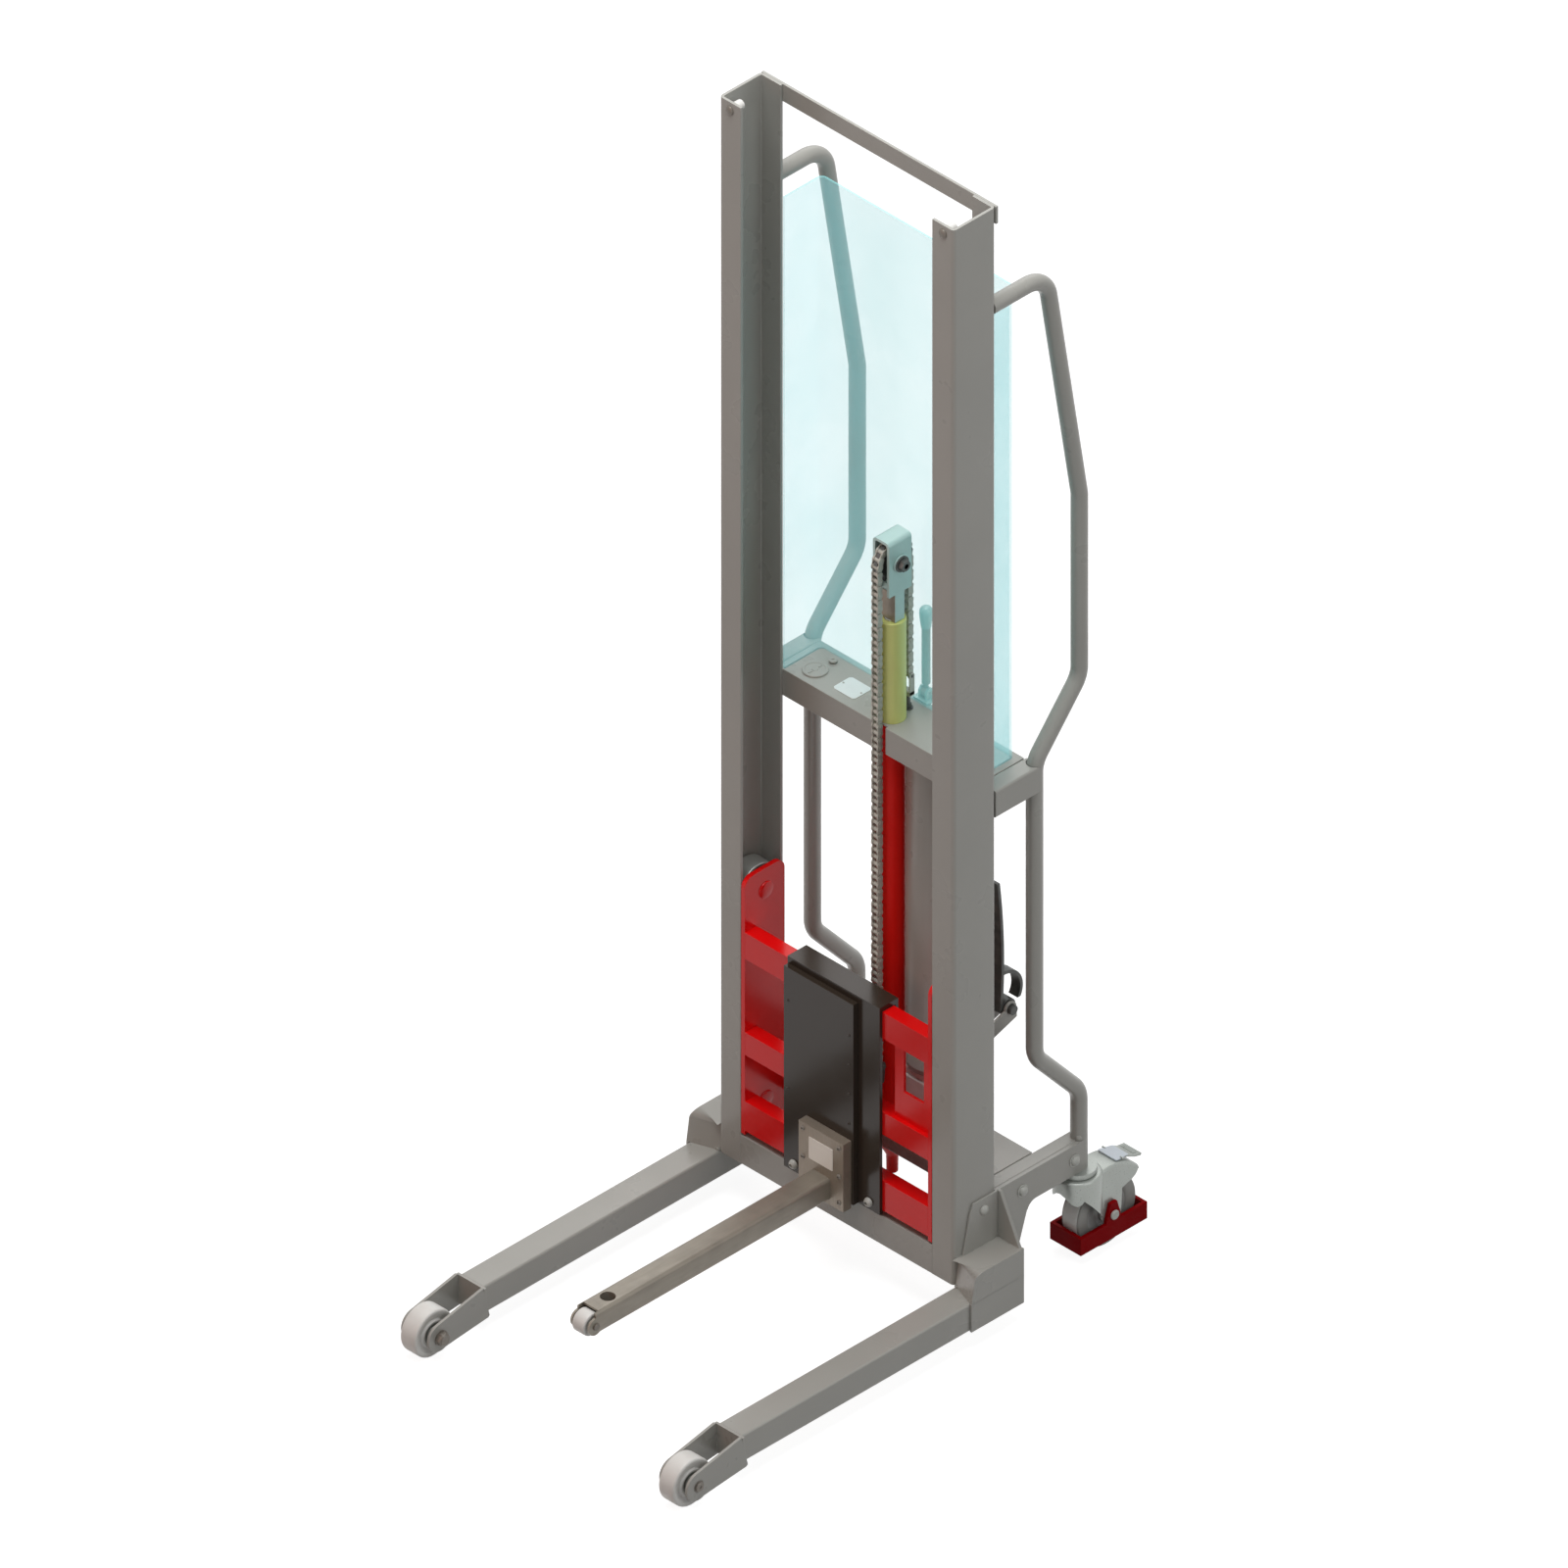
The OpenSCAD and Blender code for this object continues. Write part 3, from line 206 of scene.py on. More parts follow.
def rounded(
    corners: Sequence, radius: float | Sequence[float], steps: int = 6, closed: bool = True
) -> Array:
    """A polygon or path whose corners become arcs that touch both sides.

    At a corner with half angle h the arc's hub lies radius / sin h along the bisector, and
    its points turn evenly from one touching point to the other.

    Args:
        corners: The corners, in two or three dimensions.
        radius: One radius, or one for each corner; 0 keeps a corner sharp.
        steps: Number of steps of each arc.
        closed: Whether the last corner joins the first.

    Returns:
        The points of the rounded outline.
    """
    corners = np.asarray(corners, float)
    count = len(corners)
    radii = np.broadcast_to(np.asarray(radius, float), (count,))
    t = np.linspace(0, 1, steps + 1)[:, None]
    parts = []
    for i, corner in enumerate(corners):
        before = unit(corners[i - 1] - corner)
        after = unit(corners[(i + 1) % count] - corner)
        half = math.acos(float(np.clip(before @ after, -1, 1))) / 2
        at_end = not closed and i in (0, count - 1)
        if at_end or radii[i] <= 0 or half > NEARLY_STRAIGHT:
            parts.append(corner[None])
            continue
        hub = corner + unit(before + after) * radii[i] / math.sin(half)
        a = corner + before * radii[i] / math.tan(half) - hub
        b = corner + after * radii[i] / math.tan(half) - hub
        turn = math.pi - 2 * half
        parts.append(hub + (np.sin((1 - t) * turn) * a + np.sin(t * turn) * b) / math.sin(turn))
    return np.concatenate(parts)


def grid_faces(rows: int, columns: int, loop_rows: bool = False, loop_columns: bool = False) -> Faces:
    """Faces of a grid of points stored row by row.

    Args:
        rows: Number of rows.
        columns: Points in a row.
        loop_rows: Whether the last row joins the first.
        loop_columns: Whether each row's end joins its start.

    Returns:
        The four-sided faces.
    """
    index = np.arange(rows * columns).reshape(rows, columns)
    if loop_rows:
        index = np.concatenate([index, index[:1]])
    if loop_columns:
        index = np.concatenate([index, index[:, :1]], 1)
    quads = np.stack([index[:-1, :-1], index[:-1, 1:], index[1:, 1:], index[1:, :-1]], -1)
    return [tuple(quad) for quad in quads.reshape(-1, 4).tolist()]


def plate(
    outline: Array, plane: Plane, low: float | Array, high: float | Array, holes: Iterable[Array] = ()
) -> Solid:
    """An outline, with holes in it, pushed across its plane from low to high.

    Args:
        outline: The outer points, in the plane's two axes.
        plane: The plane of the outline.
        low: Where the plate starts along the third axis, for all points or for each.
        high: Where it ends.
        holes: Outlines of the holes.

    Returns:
        The closed plate.
    """
    loops = [np.asarray(loop, float) for loop in (outline, *holes)]
    flat = np.concatenate(loops)
    count = len(flat)
    first, second, across = plane.value
    points = np.zeros((2 * count, 3))
    points[:, first] = np.tile(flat[:, 0], 2)
    points[:, second] = np.tile(flat[:, 1], 2)
    points[:count, across] = low
    points[count:, across] = high
    if len(loops) == 1:
        caps = [tuple(range(count)), tuple(range(2 * count - 1, count - 1, -1))]
    else:
        triangles = tessellate_polygon([loop.tolist() for loop in loops])
        caps = [tuple(t) for t in triangles] + [tuple(i + count for i in t[::-1]) for t in triangles]
    sides = []
    start = 0
    for loop in loops:
        i = start + np.arange(len(loop))
        j = start + (np.arange(len(loop)) + 1) % len(loop)
        sides += [tuple(q) for q in np.stack([i, j, j + count, i + count], 1).tolist()]
        start += len(loop)
    return Solid(points, caps + sides)


def block(low: Sequence[float], high: Sequence[float]) -> Solid:
    """A plain block between two corners; its edges are rounded when it is finished."""
    return plate(oblong(low[:2], high[:2]), Plane.XY, low[2], high[2])


def strip(path: Array, thickness: float) -> Array:
    """The section of a bent sheet: its middle line, shifted by half the thickness each way.

    The shift at a point is along the mean normal of the two runs that meet there, divided
    by the cosine of half the turn, so the sheet keeps its thickness in a sharp corner.

    Args:
        path: The middle line.
        thickness: Thickness of the sheet.

    Returns:
        The outline, out along one side and back along the other.
    """
    path = np.asarray(path, float)
    runs = unit(np.diff(path, axis=0))
    normals = np.stack([-runs[:, 1], runs[:, 0]], 1)
    before = np.concatenate([normals[:1], normals])
    after = np.concatenate([normals, normals[-1:]])
    mean = unit(before + after)
    reach = thickness / 2 / np.maximum((mean * before).sum(1, keepdims=True), SHARPEST)
    return np.concatenate([path + mean * reach, (path - mean * reach)[::-1]])


def lathe(
    profile: Sequence, origin: Sequence[float], axis: Axis, steps: int = 40, hexed: Sequence[int] = ()
) -> Solid:
    """A turned shape: a profile carried once round an axis.

    The point at angle a is (along, radius * cos a, radius * sin a). In a row named in hexed
    the radius is that of a hexagon, cos 30 / cos((a mod 60) - 30), times the profile's.

    Args:
        profile: Pairs of distance along the axis and radius.
        origin: Point on the axis from which the distance is taken.
        axis: The axis.
        steps: Points in a full turn.
        hexed: Rows of the profile that are hexagons.

    Returns:
        The shape, closed at its poles or, where no end is at radius 0, round its bore.
    """
    profile = np.asarray(profile, float)
    angle = np.linspace(0, TAU, steps, endpoint=False)
    radius = np.repeat(profile[:, 1:], steps, 1)
    if len(hexed):
        sixth = TAU / 6
        radius[list(hexed)] *= math.cos(sixth / 2) / np.cos(angle % sixth - sixth / 2)
    points = np.zeros((len(profile), steps, 3))
    points[..., axis.value] = profile[:, :1]
    points[..., (axis.value + 1) % 3] = radius * np.cos(angle)
    points[..., (axis.value + 2) % 3] = radius * np.sin(angle)
    ring = profile[0, 1] > 0 and profile[-1, 1] > 0
    return Solid(points.reshape(-1, 3) + origin, grid_faces(len(profile), steps, ring, True))


def sweep(section: Array, path: Array, side: Sequence[float], loop: bool = False) -> Solid:
    """A section carried along a path that lies in one plane.

    A section point (s, t) lies at path + s * side + t * normal, where side is square to the
    path's plane and normal is square to the path in it.

    Args:
        section: Points of the closed section.
        path: Points of the path, in three dimensions.
        side: Direction square to the path's plane.
        loop: Whether the path's end joins its start.

    Returns:
        The closed shape.
    """
    path = np.asarray(path, float)
    if loop:
        tangent = unit(np.roll(path, -1, 0) - np.roll(path, 1, 0))
    else:
        runs = unit(np.diff(path, axis=0))
        tangent = unit(np.concatenate([runs[:1], runs[:-1] + runs[1:], runs[-1:]]))
    side = np.asarray(side, float)
    normal = np.cross(tangent, side)
    points = path[:, None] + section[None, :, :1] * side + section[None, :, 1:] * normal[:, None]
    rows, columns = len(path), len(section)
    faces = grid_faces(rows, columns, loop, True)
    if not loop:
        faces += [tuple(range(columns)), tuple(range(rows * columns - 1, (rows - 1) * columns - 1, -1))]
    return Solid(points.reshape(-1, 3), faces)


def threaded(origin: Sequence[float], axis: Axis, length: float, radius: float, pitch: float) -> Solid:
    """A threaded rod with flat ends.

    The radius at height z and angle a is radius - 0.3 * pitch * |2 * frac(z / pitch - a / 360) - 1|.

    Args:
        origin: Middle of one end.
        axis: Axis that the rod lies along.
        length: Its length.
        radius: Radius over the crests.
        pitch: Distance from crest to crest.

    Returns:
        The closed rod.
    """
    rows, steps = max(8, int(6 * length / pitch)), 24
    height = np.linspace(0, length, rows)[:, None]
    angle = np.linspace(0, TAU, steps, endpoint=False)[None]
    wave = np.abs(2 * ((height / pitch - angle / TAU) % 1) - 1)
    reach = radius - 0.3 * pitch * wave
    reach = np.concatenate([reach[:1] * 0, reach, reach[-1:] * 0])
    height = np.concatenate([height[:1], height, height[-1:]])
    points = np.zeros((rows + 2, steps, 3))
    points[..., axis.value] = height
    points[..., (axis.value + 1) % 3] = reach * np.cos(angle)
    points[..., (axis.value + 2) % 3] = reach * np.sin(angle)
    return Solid(points.reshape(-1, 3) + origin, grid_faces(rows + 2, steps, False, True))


def rod(origin: Sequence[float], axis: Axis, length: float, radius: float, edge: float = 0.8) -> Solid:
    """A round bar with eased ends.

    Args:
        origin: Middle of one end.
        axis: Axis that it lies along.
        length: Its length; a negative one points it the other way.
        radius: Its radius.
        edge: How far its ends are eased.

    Returns:
        The closed bar.
    """
    step = math.copysign(edge, length)
    profile = [(0, 0), (0, radius - edge), (step * 0.3, radius - edge * 0.3), (step, radius)]
    profile += [(length - x, r) for x, r in profile[::-1]]
    return lathe(profile, origin, axis, 36)


def hex_bolt(origin: Sequence[float], axis: Axis, radius: float, height: float) -> Solid:
    """A hexagon head on a washer, its top turned down to a round chamfer.

    Args:
        origin: Middle of its seat.
        axis: Axis that it grows along.
        radius: Radius over its corners.
        height: Its height; a negative one points it the other way.

    Returns:
        The closed head.
    """
    washer, lip = 0.22 * height, 0.12 * height
    profile = [
        (0, 0), (0, radius * 1.3), (washer - lip * 0.4, radius * 1.32), (washer, radius * 1.27),
        (washer, radius), (height - lip, radius), (height, radius * 0.84), (height, 0),
    ]
    return lathe(profile, origin, axis, 48, hexed=(4, 5))


def button_bolt(origin: Sequence[float], axis: Axis, radius: float, height: float) -> Solid:
    """A round screw head with a hexagon socket.

    Args:
        origin: Middle of its seat.
        axis: Axis that it grows along.
        radius: Its radius.
        height: Its height.

    Returns:
        The closed head.
    """
    dome = arc((0, 0), 1.0, 20, 62, 5)[:, ::-1]
    profile = [(0, 0), (0, radius), (0.22 * height, radius)]
    profile += [(float(x) * height * 1.06, float(r) * radius) for x, r in dome]
    profile += [(height, 0.44 * radius), (0.45 * height, 0.4 * radius), (0.4 * height, 0)]
    return lathe(profile, origin, axis, 36, hexed=(9, 10))


def dome_bolt(origin: Sequence[float], axis: Axis, radius: float, height: float) -> Solid:
    """A plain round head: half an ellipse on a short rim.

    Args:
        origin: Middle of its seat.
        axis: Axis that it grows along.
        radius: Its radius.
        height: Its height.

    Returns:
        The closed head.
    """
    rim = 0.2 * height
    dome = arc((0, 0), 1.0, 8, 82, 7)[:, ::-1]
    profile = [(0, 0), (0, radius), (rim, radius)]
    profile += [(rim + float(x) * (height - rim), float(r) * radius) for x, r in dome]
    return lathe(profile + [(height, 0)], origin, axis, 36)


def front_bolt(x: float, y: float, z: float, radius: float, height: float) -> Solid:
    """A round screw head with a socket that points to the front."""
    return button_bolt((x, y, z), Axis.Y, radius, height).rotated(180, Axis.Z, (x, y, z))


class Cad:
    """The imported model, read in millimetres from the mast's front face."""

    def __init__(self, frame: dict) -> None:
        """Keeps the frame and finds the mast's front face in it.
        """
        self.nodes: dict = frame["nodes"]
        self.joints: dict = {joint["name"]: joint for joint in frame["joints"]}
        self.front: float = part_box("mast_upright_right")[0].y

    def metres(self, points: Array) -> Array:
        """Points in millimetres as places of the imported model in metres."""
        return np.asarray(points, float) * MM + [0, self.front, 0]

    def millimetres(self, points: Array) -> Array:
        """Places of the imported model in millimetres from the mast's front face."""
        return (np.asarray(points, float) - [0, self.front, 0]) / MM

    def low(self, node: str) -> Array:
        """The lowest corner of a node."""
        return self.millimetres(np.array(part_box(node)[0]))

    def high(self, node: str) -> Array:
        """The highest corner of a node."""
        return self.millimetres(np.array(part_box(node)[1]))

    def ends(self, node: str) -> tuple[Array, Array]:
        """The lowest and the highest corner of a node."""
        return self.low(node), self.high(node)

    def middle(self, node: str) -> Array:
        """The middle of a node's box."""
        return (self.low(node) + self.high(node)) / 2

    def pivot(self, joint: str) -> Array:
        """A point on a joint's axis."""
        return self.millimetres(np.array(self.joints[joint]["pos_m"]))

    def solid(self, node: str) -> Solid:
        """A copy of a node's mesh as a solid.

        Args:
            node: Name of the node.

        Returns:
            The copy, in millimetres.
        """
        mesh = self.nodes[node].data
        points = np.empty(len(mesh.vertices) * 3)
        mesh.vertices.foreach_get("co", points)
        faces = [tuple(polygon.vertices) for polygon in mesh.polygons]
        return Solid(self.millimetres(points.reshape(-1, 3)), faces)


def linear(colour: Sequence[int]) -> tuple[float, float, float, float]:
    """A screen colour in 0 to 255 as the shader's linear colour."""
    c = np.asarray(colour, float) / 255
    return (*np.where(c <= 0.04045, c / 12.92, ((c + 0.055) / 1.055) ** 2.4).tolist(), 1.0)


class Nodes:
    """A short way to write a material's node tree."""

    def __init__(self, name: str) -> None:
        """Makes the material with its shader and its object coordinates.

        Args:
            name: Name of the material.
        """
        self.material = bpy.data.materials.new(name)
        self.material.use_nodes = True
        self.tree = self.material.node_tree
        self.shader = self.tree.nodes["Principled BSDF"]
        self.place = self.add("ShaderNodeTexCoord").outputs["Object"]

    def add(self, kind: str, inputs: dict | None = None, **settings: object) -> bpy.types.Node:
        """Adds a node and gives its inputs a value or a link.

        Args:
            kind: The node's type.
            inputs: Values, or output sockets to link, by input name or index.
            settings: Properties of the node.

        Returns:
            The node.
        """
        node = self.tree.nodes.new(kind)
        for key, value in settings.items():
            setattr(node, key, value)
        for key, value in (inputs or {}).items():
            self.give(node.inputs[key], value)
        return node

    def give(self, socket: Socket, value: object) -> None:
        """Links an output to a socket, or sets the socket's value.

        Args:
            socket: The socket that takes it.
            value: An output socket or a plain value.
        """
        if isinstance(value, Socket):
            self.tree.links.new(value, socket)
        else:
            socket.default_value = value

    def noise(self, scale: float, detail: float = 3, stretch: Sequence[float] = (1, 1, 1)) -> Socket:
        """A noise pattern fixed to the object.

        Args:
            scale: Cells in a metre.
            detail: Steps of finer detail.
            stretch: Scale along X, Y and Z.

        Returns:
            The pattern's value.
        """
        mapping = self.add("ShaderNodeMapping", {"Vector": self.place, "Scale": tuple(stretch)})
        inputs = {"Vector": mapping.outputs[0], "Scale": scale, "Detail": detail}
        return self.add("ShaderNodeTexNoise", inputs).outputs[0]

    def span(self, value: Socket, low: float, high: float, a: float = 0.3, b: float = 0.7) -> Socket:
        """A value carried from the range a to b into the range low to high."""
        inputs = {"Value": value, "From Min": a, "From Max": b, "To Min": low, "To Max": high}
        return self.add("ShaderNodeMapRange", inputs).outputs[0]

    def mix(self, factor: Socket, a: Sequence[float], b: object) -> Socket:
        """Two colours mixed.

        Args:
            factor: Share of the second colour.
            a: The first colour.
            b: The second colour, plain or an output socket.

        Returns:
            The mixed colour.
        """
        # For colours the factor, A, B and the result are inputs 0, 6 and 7 and output 2.
        return self.add("ShaderNodeMix", {0: factor, 6: a, 7: b}, data_type="RGBA").outputs[2]

    def bump(self, height: Socket, strength: float, depth: float, under: Socket | None = None) -> Socket:
        """A bump from a height.

        Args:
            height: The height.
            strength: Share of the bump that shows.
            depth: Height of 1 in metres.
            under: Another bump that it lies on.

        Returns:
            The normal.
        """
        inputs = {"Height": height, "Strength": strength, "Distance": depth}
        if under is not None:
            inputs["Normal"] = under
        return self.add("ShaderNodeBump", inputs).outputs[0]


@dataclass(frozen=True)
class Surface(ABC):
    """What a finish looks like.

    Attributes:
        name: Name of its material.
        colour: Screen colour, 0 to 255.
    """

    name: str
    colour: tuple[int, int, int]

    @abstractmethod
    def build(self) -> bpy.types.Material:
        """Makes the material."""


@dataclass(frozen=True)
class Paint(Surface):
    """Paint or powder coat: orange peel, faint clouds in the colour, uneven gloss.

    Attributes:
        gloss: Roughness of the surface.
        peel: Cells of orange peel in a metre.
        relief: Height of the peel in metres.
        clouds: How much darker the clouds are.
        shine: Strength of the mirror reflection.
    """

    gloss: float = 0.45
    peel: float = 700.0
    relief: float = 0.00012
    clouds: float = 0.93
    shine: float = 0.4

    def build(self) -> bpy.types.Material:
        """Makes the material.

        Returns:
            The material.
        """
        n = Nodes(self.name)
        base = linear(self.colour)
        dim = tuple(c * self.clouds for c in base[:3]) + (1.0,)
        clouds = n.mix(n.span(n.noise(6, 4), 0, 1), base, dim)
        grain = n.noise(220, 2)
        speck = n.mix(n.span(grain, 0, 0.35, 0.45, 0.75), clouds, dim)
        n.give(n.shader.inputs["Base Color"], speck)
        n.give(n.shader.inputs["Roughness"], n.span(n.noise(14, 3), self.gloss * 0.85, self.gloss * 1.2))
        n.give(n.shader.inputs["Specular IOR Level"], self.shine)
        fine = n.bump(n.noise(self.peel, 1), 0.35, self.relief)
        n.give(n.shader.inputs["Normal"], n.bump(n.noise(9, 1), 0.2, 0.0006, fine))
        return n.material


@dataclass(frozen=True)
class Metal(Surface):
    """Bare or plated metal: drawn grain along one axis, stains and fine scratches.

    Attributes:
        gloss: Roughness of the surface.
        metal: How metallic it is.
        grain: Stretch of the grain along X, Y and Z; a small number draws it out.
        relief: Height of the grain in metres.
        stain: Screen colour of the stains.
        stains: Most of the stain that shows.
        dull: How light the dull streaks of the grain are against the colour.
    """

    gloss: float = 0.35
    metal: float = 0.8
    grain: tuple[float, float, float] = (1, 1, 1)
    relief: float = 0.00004
    stain: tuple[int, int, int] = (90, 88, 84)
    stains: float = 0.25
    dull: float = 0.9

    def build(self) -> bpy.types.Material:
        """Makes the material.

        Returns:
            The material.
        """
        n = Nodes(self.name)
        base = linear(self.colour)
        stained = n.mix(n.span(n.noise(32, 5), 0, self.stains, 0.42, 0.75), base, linear(self.stain))
        drawn = n.noise(420, 3, self.grain)
        dull = tuple(c * self.dull for c in base[:3]) + (1.0,)
        n.give(n.shader.inputs["Base Color"], n.mix(n.span(drawn, 0, 0.5, 0.4, 0.8), stained, dull))
        n.give(n.shader.inputs["Roughness"], n.span(drawn, self.gloss * 0.8, self.gloss * 1.25))
        n.give(n.shader.inputs["Metallic"], self.metal)
        n.give(n.shader.inputs["Normal"], n.bump(drawn, 0.3, self.relief))
        return n.material


@dataclass(frozen=True)
class Plastic(Surface):
    """Moulded or cast plastic and rubber: fine grain, faint mottling, scuffs.

    Attributes:
        gloss: Roughness of the surface.
        grain: Cells of grain in a metre.
        relief: Height of the grain in metres.
        scuff: Screen colour of the scuffs.
        scuffs: Most of the scuff that shows.
    """

    gloss: float = 0.5
    grain: float = 900.0
    relief: float = 0.00006
    scuff: tuple[int, int, int] = (150, 148, 142)
    scuffs: float = 0.2

    def build(self) -> bpy.types.Material:
        """Makes the material.

        Returns:
            The material.
        """
        n = Nodes(self.name)
        share = n.span(n.noise(45, 5), 0, self.scuffs, 0.45, 0.75)
        n.give(n.shader.inputs["Base Color"], n.mix(share, linear(self.colour), linear(self.scuff)))
        n.give(n.shader.inputs["Roughness"], n.span(n.noise(30, 3), self.gloss * 0.85, self.gloss * 1.2))
        n.give(n.shader.inputs["Normal"], n.bump(n.noise(self.grain, 2), 0.3, self.relief))
        return n.material


@dataclass(frozen=True)
class ClearSheet(Surface):
    """Clear polycarbonate with a blue-green cast that is deeper on its edges, and emitted light that is
    painted light.

    Attributes:
        veil: How much the sheet covers what is behind it.
        glow: Light that the sheet emits towards every side, in linear colour; painted light standing in for
            light scattered through the sheet.
    """

    veil: float
    glow: tuple[float, float, float] = (0.17, 0.3, 0.31)

    def build(self) -> bpy.types.Material:
        """Makes the material.

        Returns:
            The material.
        """
        n = Nodes(self.name)
        n.give(n.shader.inputs["Base Color"], linear(self.colour))
        haze = n.span(n.noise(7, 3), self.veil * 0.9, self.veil * 1.12)
        n.give(n.shader.inputs["Alpha"], haze)
        n.give(n.shader.inputs["Roughness"], n.span(n.noise(60, 4), 0.04, 0.12))
        n.give(n.shader.inputs["Specular IOR Level"], 0.3)
        # The emission is painted light: the sheet shines by itself, standing in for light scattered through
        # it.
        n.give(n.shader.inputs["Emission Color"], (*self.glow, 1.0))
        n.give(n.shader.inputs["Emission Strength"], 1.0)
        n.give(n.shader.inputs["Normal"], n.bump(n.noise(3, 1), 0.1, 0.0004))
        n.material.surface_render_method = "BLENDED"
        return n.material


class Finish(Enum):
    """The finishes of the machine; each names the record's slot that it belongs to."""

    GREY = ("frame_grey", Paint("frame_grey", (168, 167, 161), 0.3))
    RED = ("carriage_red", Paint("carriage_red", (240, 12, 14), 0.2, relief=0.00005, shine=0.24))
    # The barrel's red is raised above the carriage's red to make up for the shade it stands in: painted
    # light.
    RAM_RED = ("carriage_red", Paint("ram_red", (255, 34, 26), 0.4, shine=0.15, clouds=0.97))
    BLACK = ("tool_black", Paint("tool_black", (58, 49, 41), 0.18, relief=0.00005, shine=0.27))
    PLATE = ("bare_steel", Metal("flange_steel", (150, 138, 124), 0.42, 0.4, (1, 1, 0.06)))
    BOOM = ("bare_steel", Metal("boom_steel", (144, 137, 125), 0.38, 0.35, (1, 0.05, 1)))
    # The pump block's steel is raised close to white to make up for the shade it stands in: partly its own
    # light colour, partly painted light.
    BLOCK = ("bare_steel", Metal("pump_steel", (236, 236, 232), 0.4, 0.2, (0.08, 1, 1), stains=0.12))
    ZINC = ("zinc", Metal("zinc", (170, 175, 170), 0.32, 0.4, relief=0.00001, stains=0.1, dull=0.97))
    BOLT = ("zinc", Paint("bolt_zinc", (188, 189, 183), 0.34, relief=0.00002, clouds=0.97))
    DULL = ("zinc", Metal("dull_zinc", (118, 112, 104), 0.42, 0.35, stains=0.15))
    # The blue-green cast of this zinc is painted light: a tint of the light on the parts by the clear guard,
    # put into their colour.
    HEAD = ("zinc", Metal("head_zinc", (180, 204, 200), 0.4, 0.25, relief=0.00001, stains=0.08, dull=0.97))
    CHAIN = ("chain_steel", Metal("chain_steel", (190, 188, 178), 0.44, 0.15, stain=(120, 114, 104),
                                  stains=0.3))
    DARK = ("chain_steel", Metal("dark_steel", (92, 92, 90), 0.42, 0.5))
    CHROME = ("hard_chrome", Metal("hard_chrome", (205, 206, 210), 0.16, 0.85, (1, 1, 0.1), 0.00001,
                                   stains=0.05))
    SLEEVE = ("sleeve_yellow", Plastic("sleeve_yellow", (222, 223, 136), 0.38, scuffs=0.05))
    NYLON = ("nylon_white", Plastic("nylon_white", (226, 225, 221), 0.45, scuff=(190, 186, 178), scuffs=0.25))
    ROLLER = ("roller_steel", Metal("roller_steel", (168, 170, 166), 0.36, 0.5))
    WHEEL = ("wheel_grey", Plastic("wheel_grey", (152, 152, 148), 0.55, scuff=(122, 122, 116), scuffs=0.3))
    # The tread band is the tyre's grey painted far lighter than its sides: painted light on the lit face,
    # raised further against the shade over it.
    TREAD = ("wheel_grey", Plastic("wheel_tread", (240, 242, 238), 0.5, scuff=(205, 205, 200), scuffs=0.3))
    HUB = ("wheel_grey", Plastic("wheel_hub", (172, 174, 172), 0.4))
    GUARD_RED = ("foot_guard_red", Paint("foot_guard_red", (142, 0, 6), 0.5, shine=0.04))
    # Both clear finishes emit painted light.
    CLEAR = ("clear_guard", ClearSheet("clear_guard", (140, 226, 232), 0.26))
    CLEAR_EDGE = ("clear_guard", ClearSheet("clear_guard_edge", (120, 208, 208), 0.42, (0.12, 0.26, 0.27)))
    BLANK = ("zinc", Plastic("blank_plate", (226, 232, 232), 0.4, scuffs=0.05))
    CARD = ("zinc", Plastic("blank_card", (252, 249, 240), 0.45, scuffs=0.03))
    PAD = ("zinc", Plastic("brake_pad", (206, 214, 222), 0.35, scuffs=0.1))
    KNOB = ("tool_black", Plastic("black_plastic", (56, 58, 56), 0.4))

    @property
    def slot(self) -> str:
        """The record's material slot."""
        return self.value[0]

    @property
    def surface(self) -> Surface:
        """What it looks like."""
        return self.value[1]


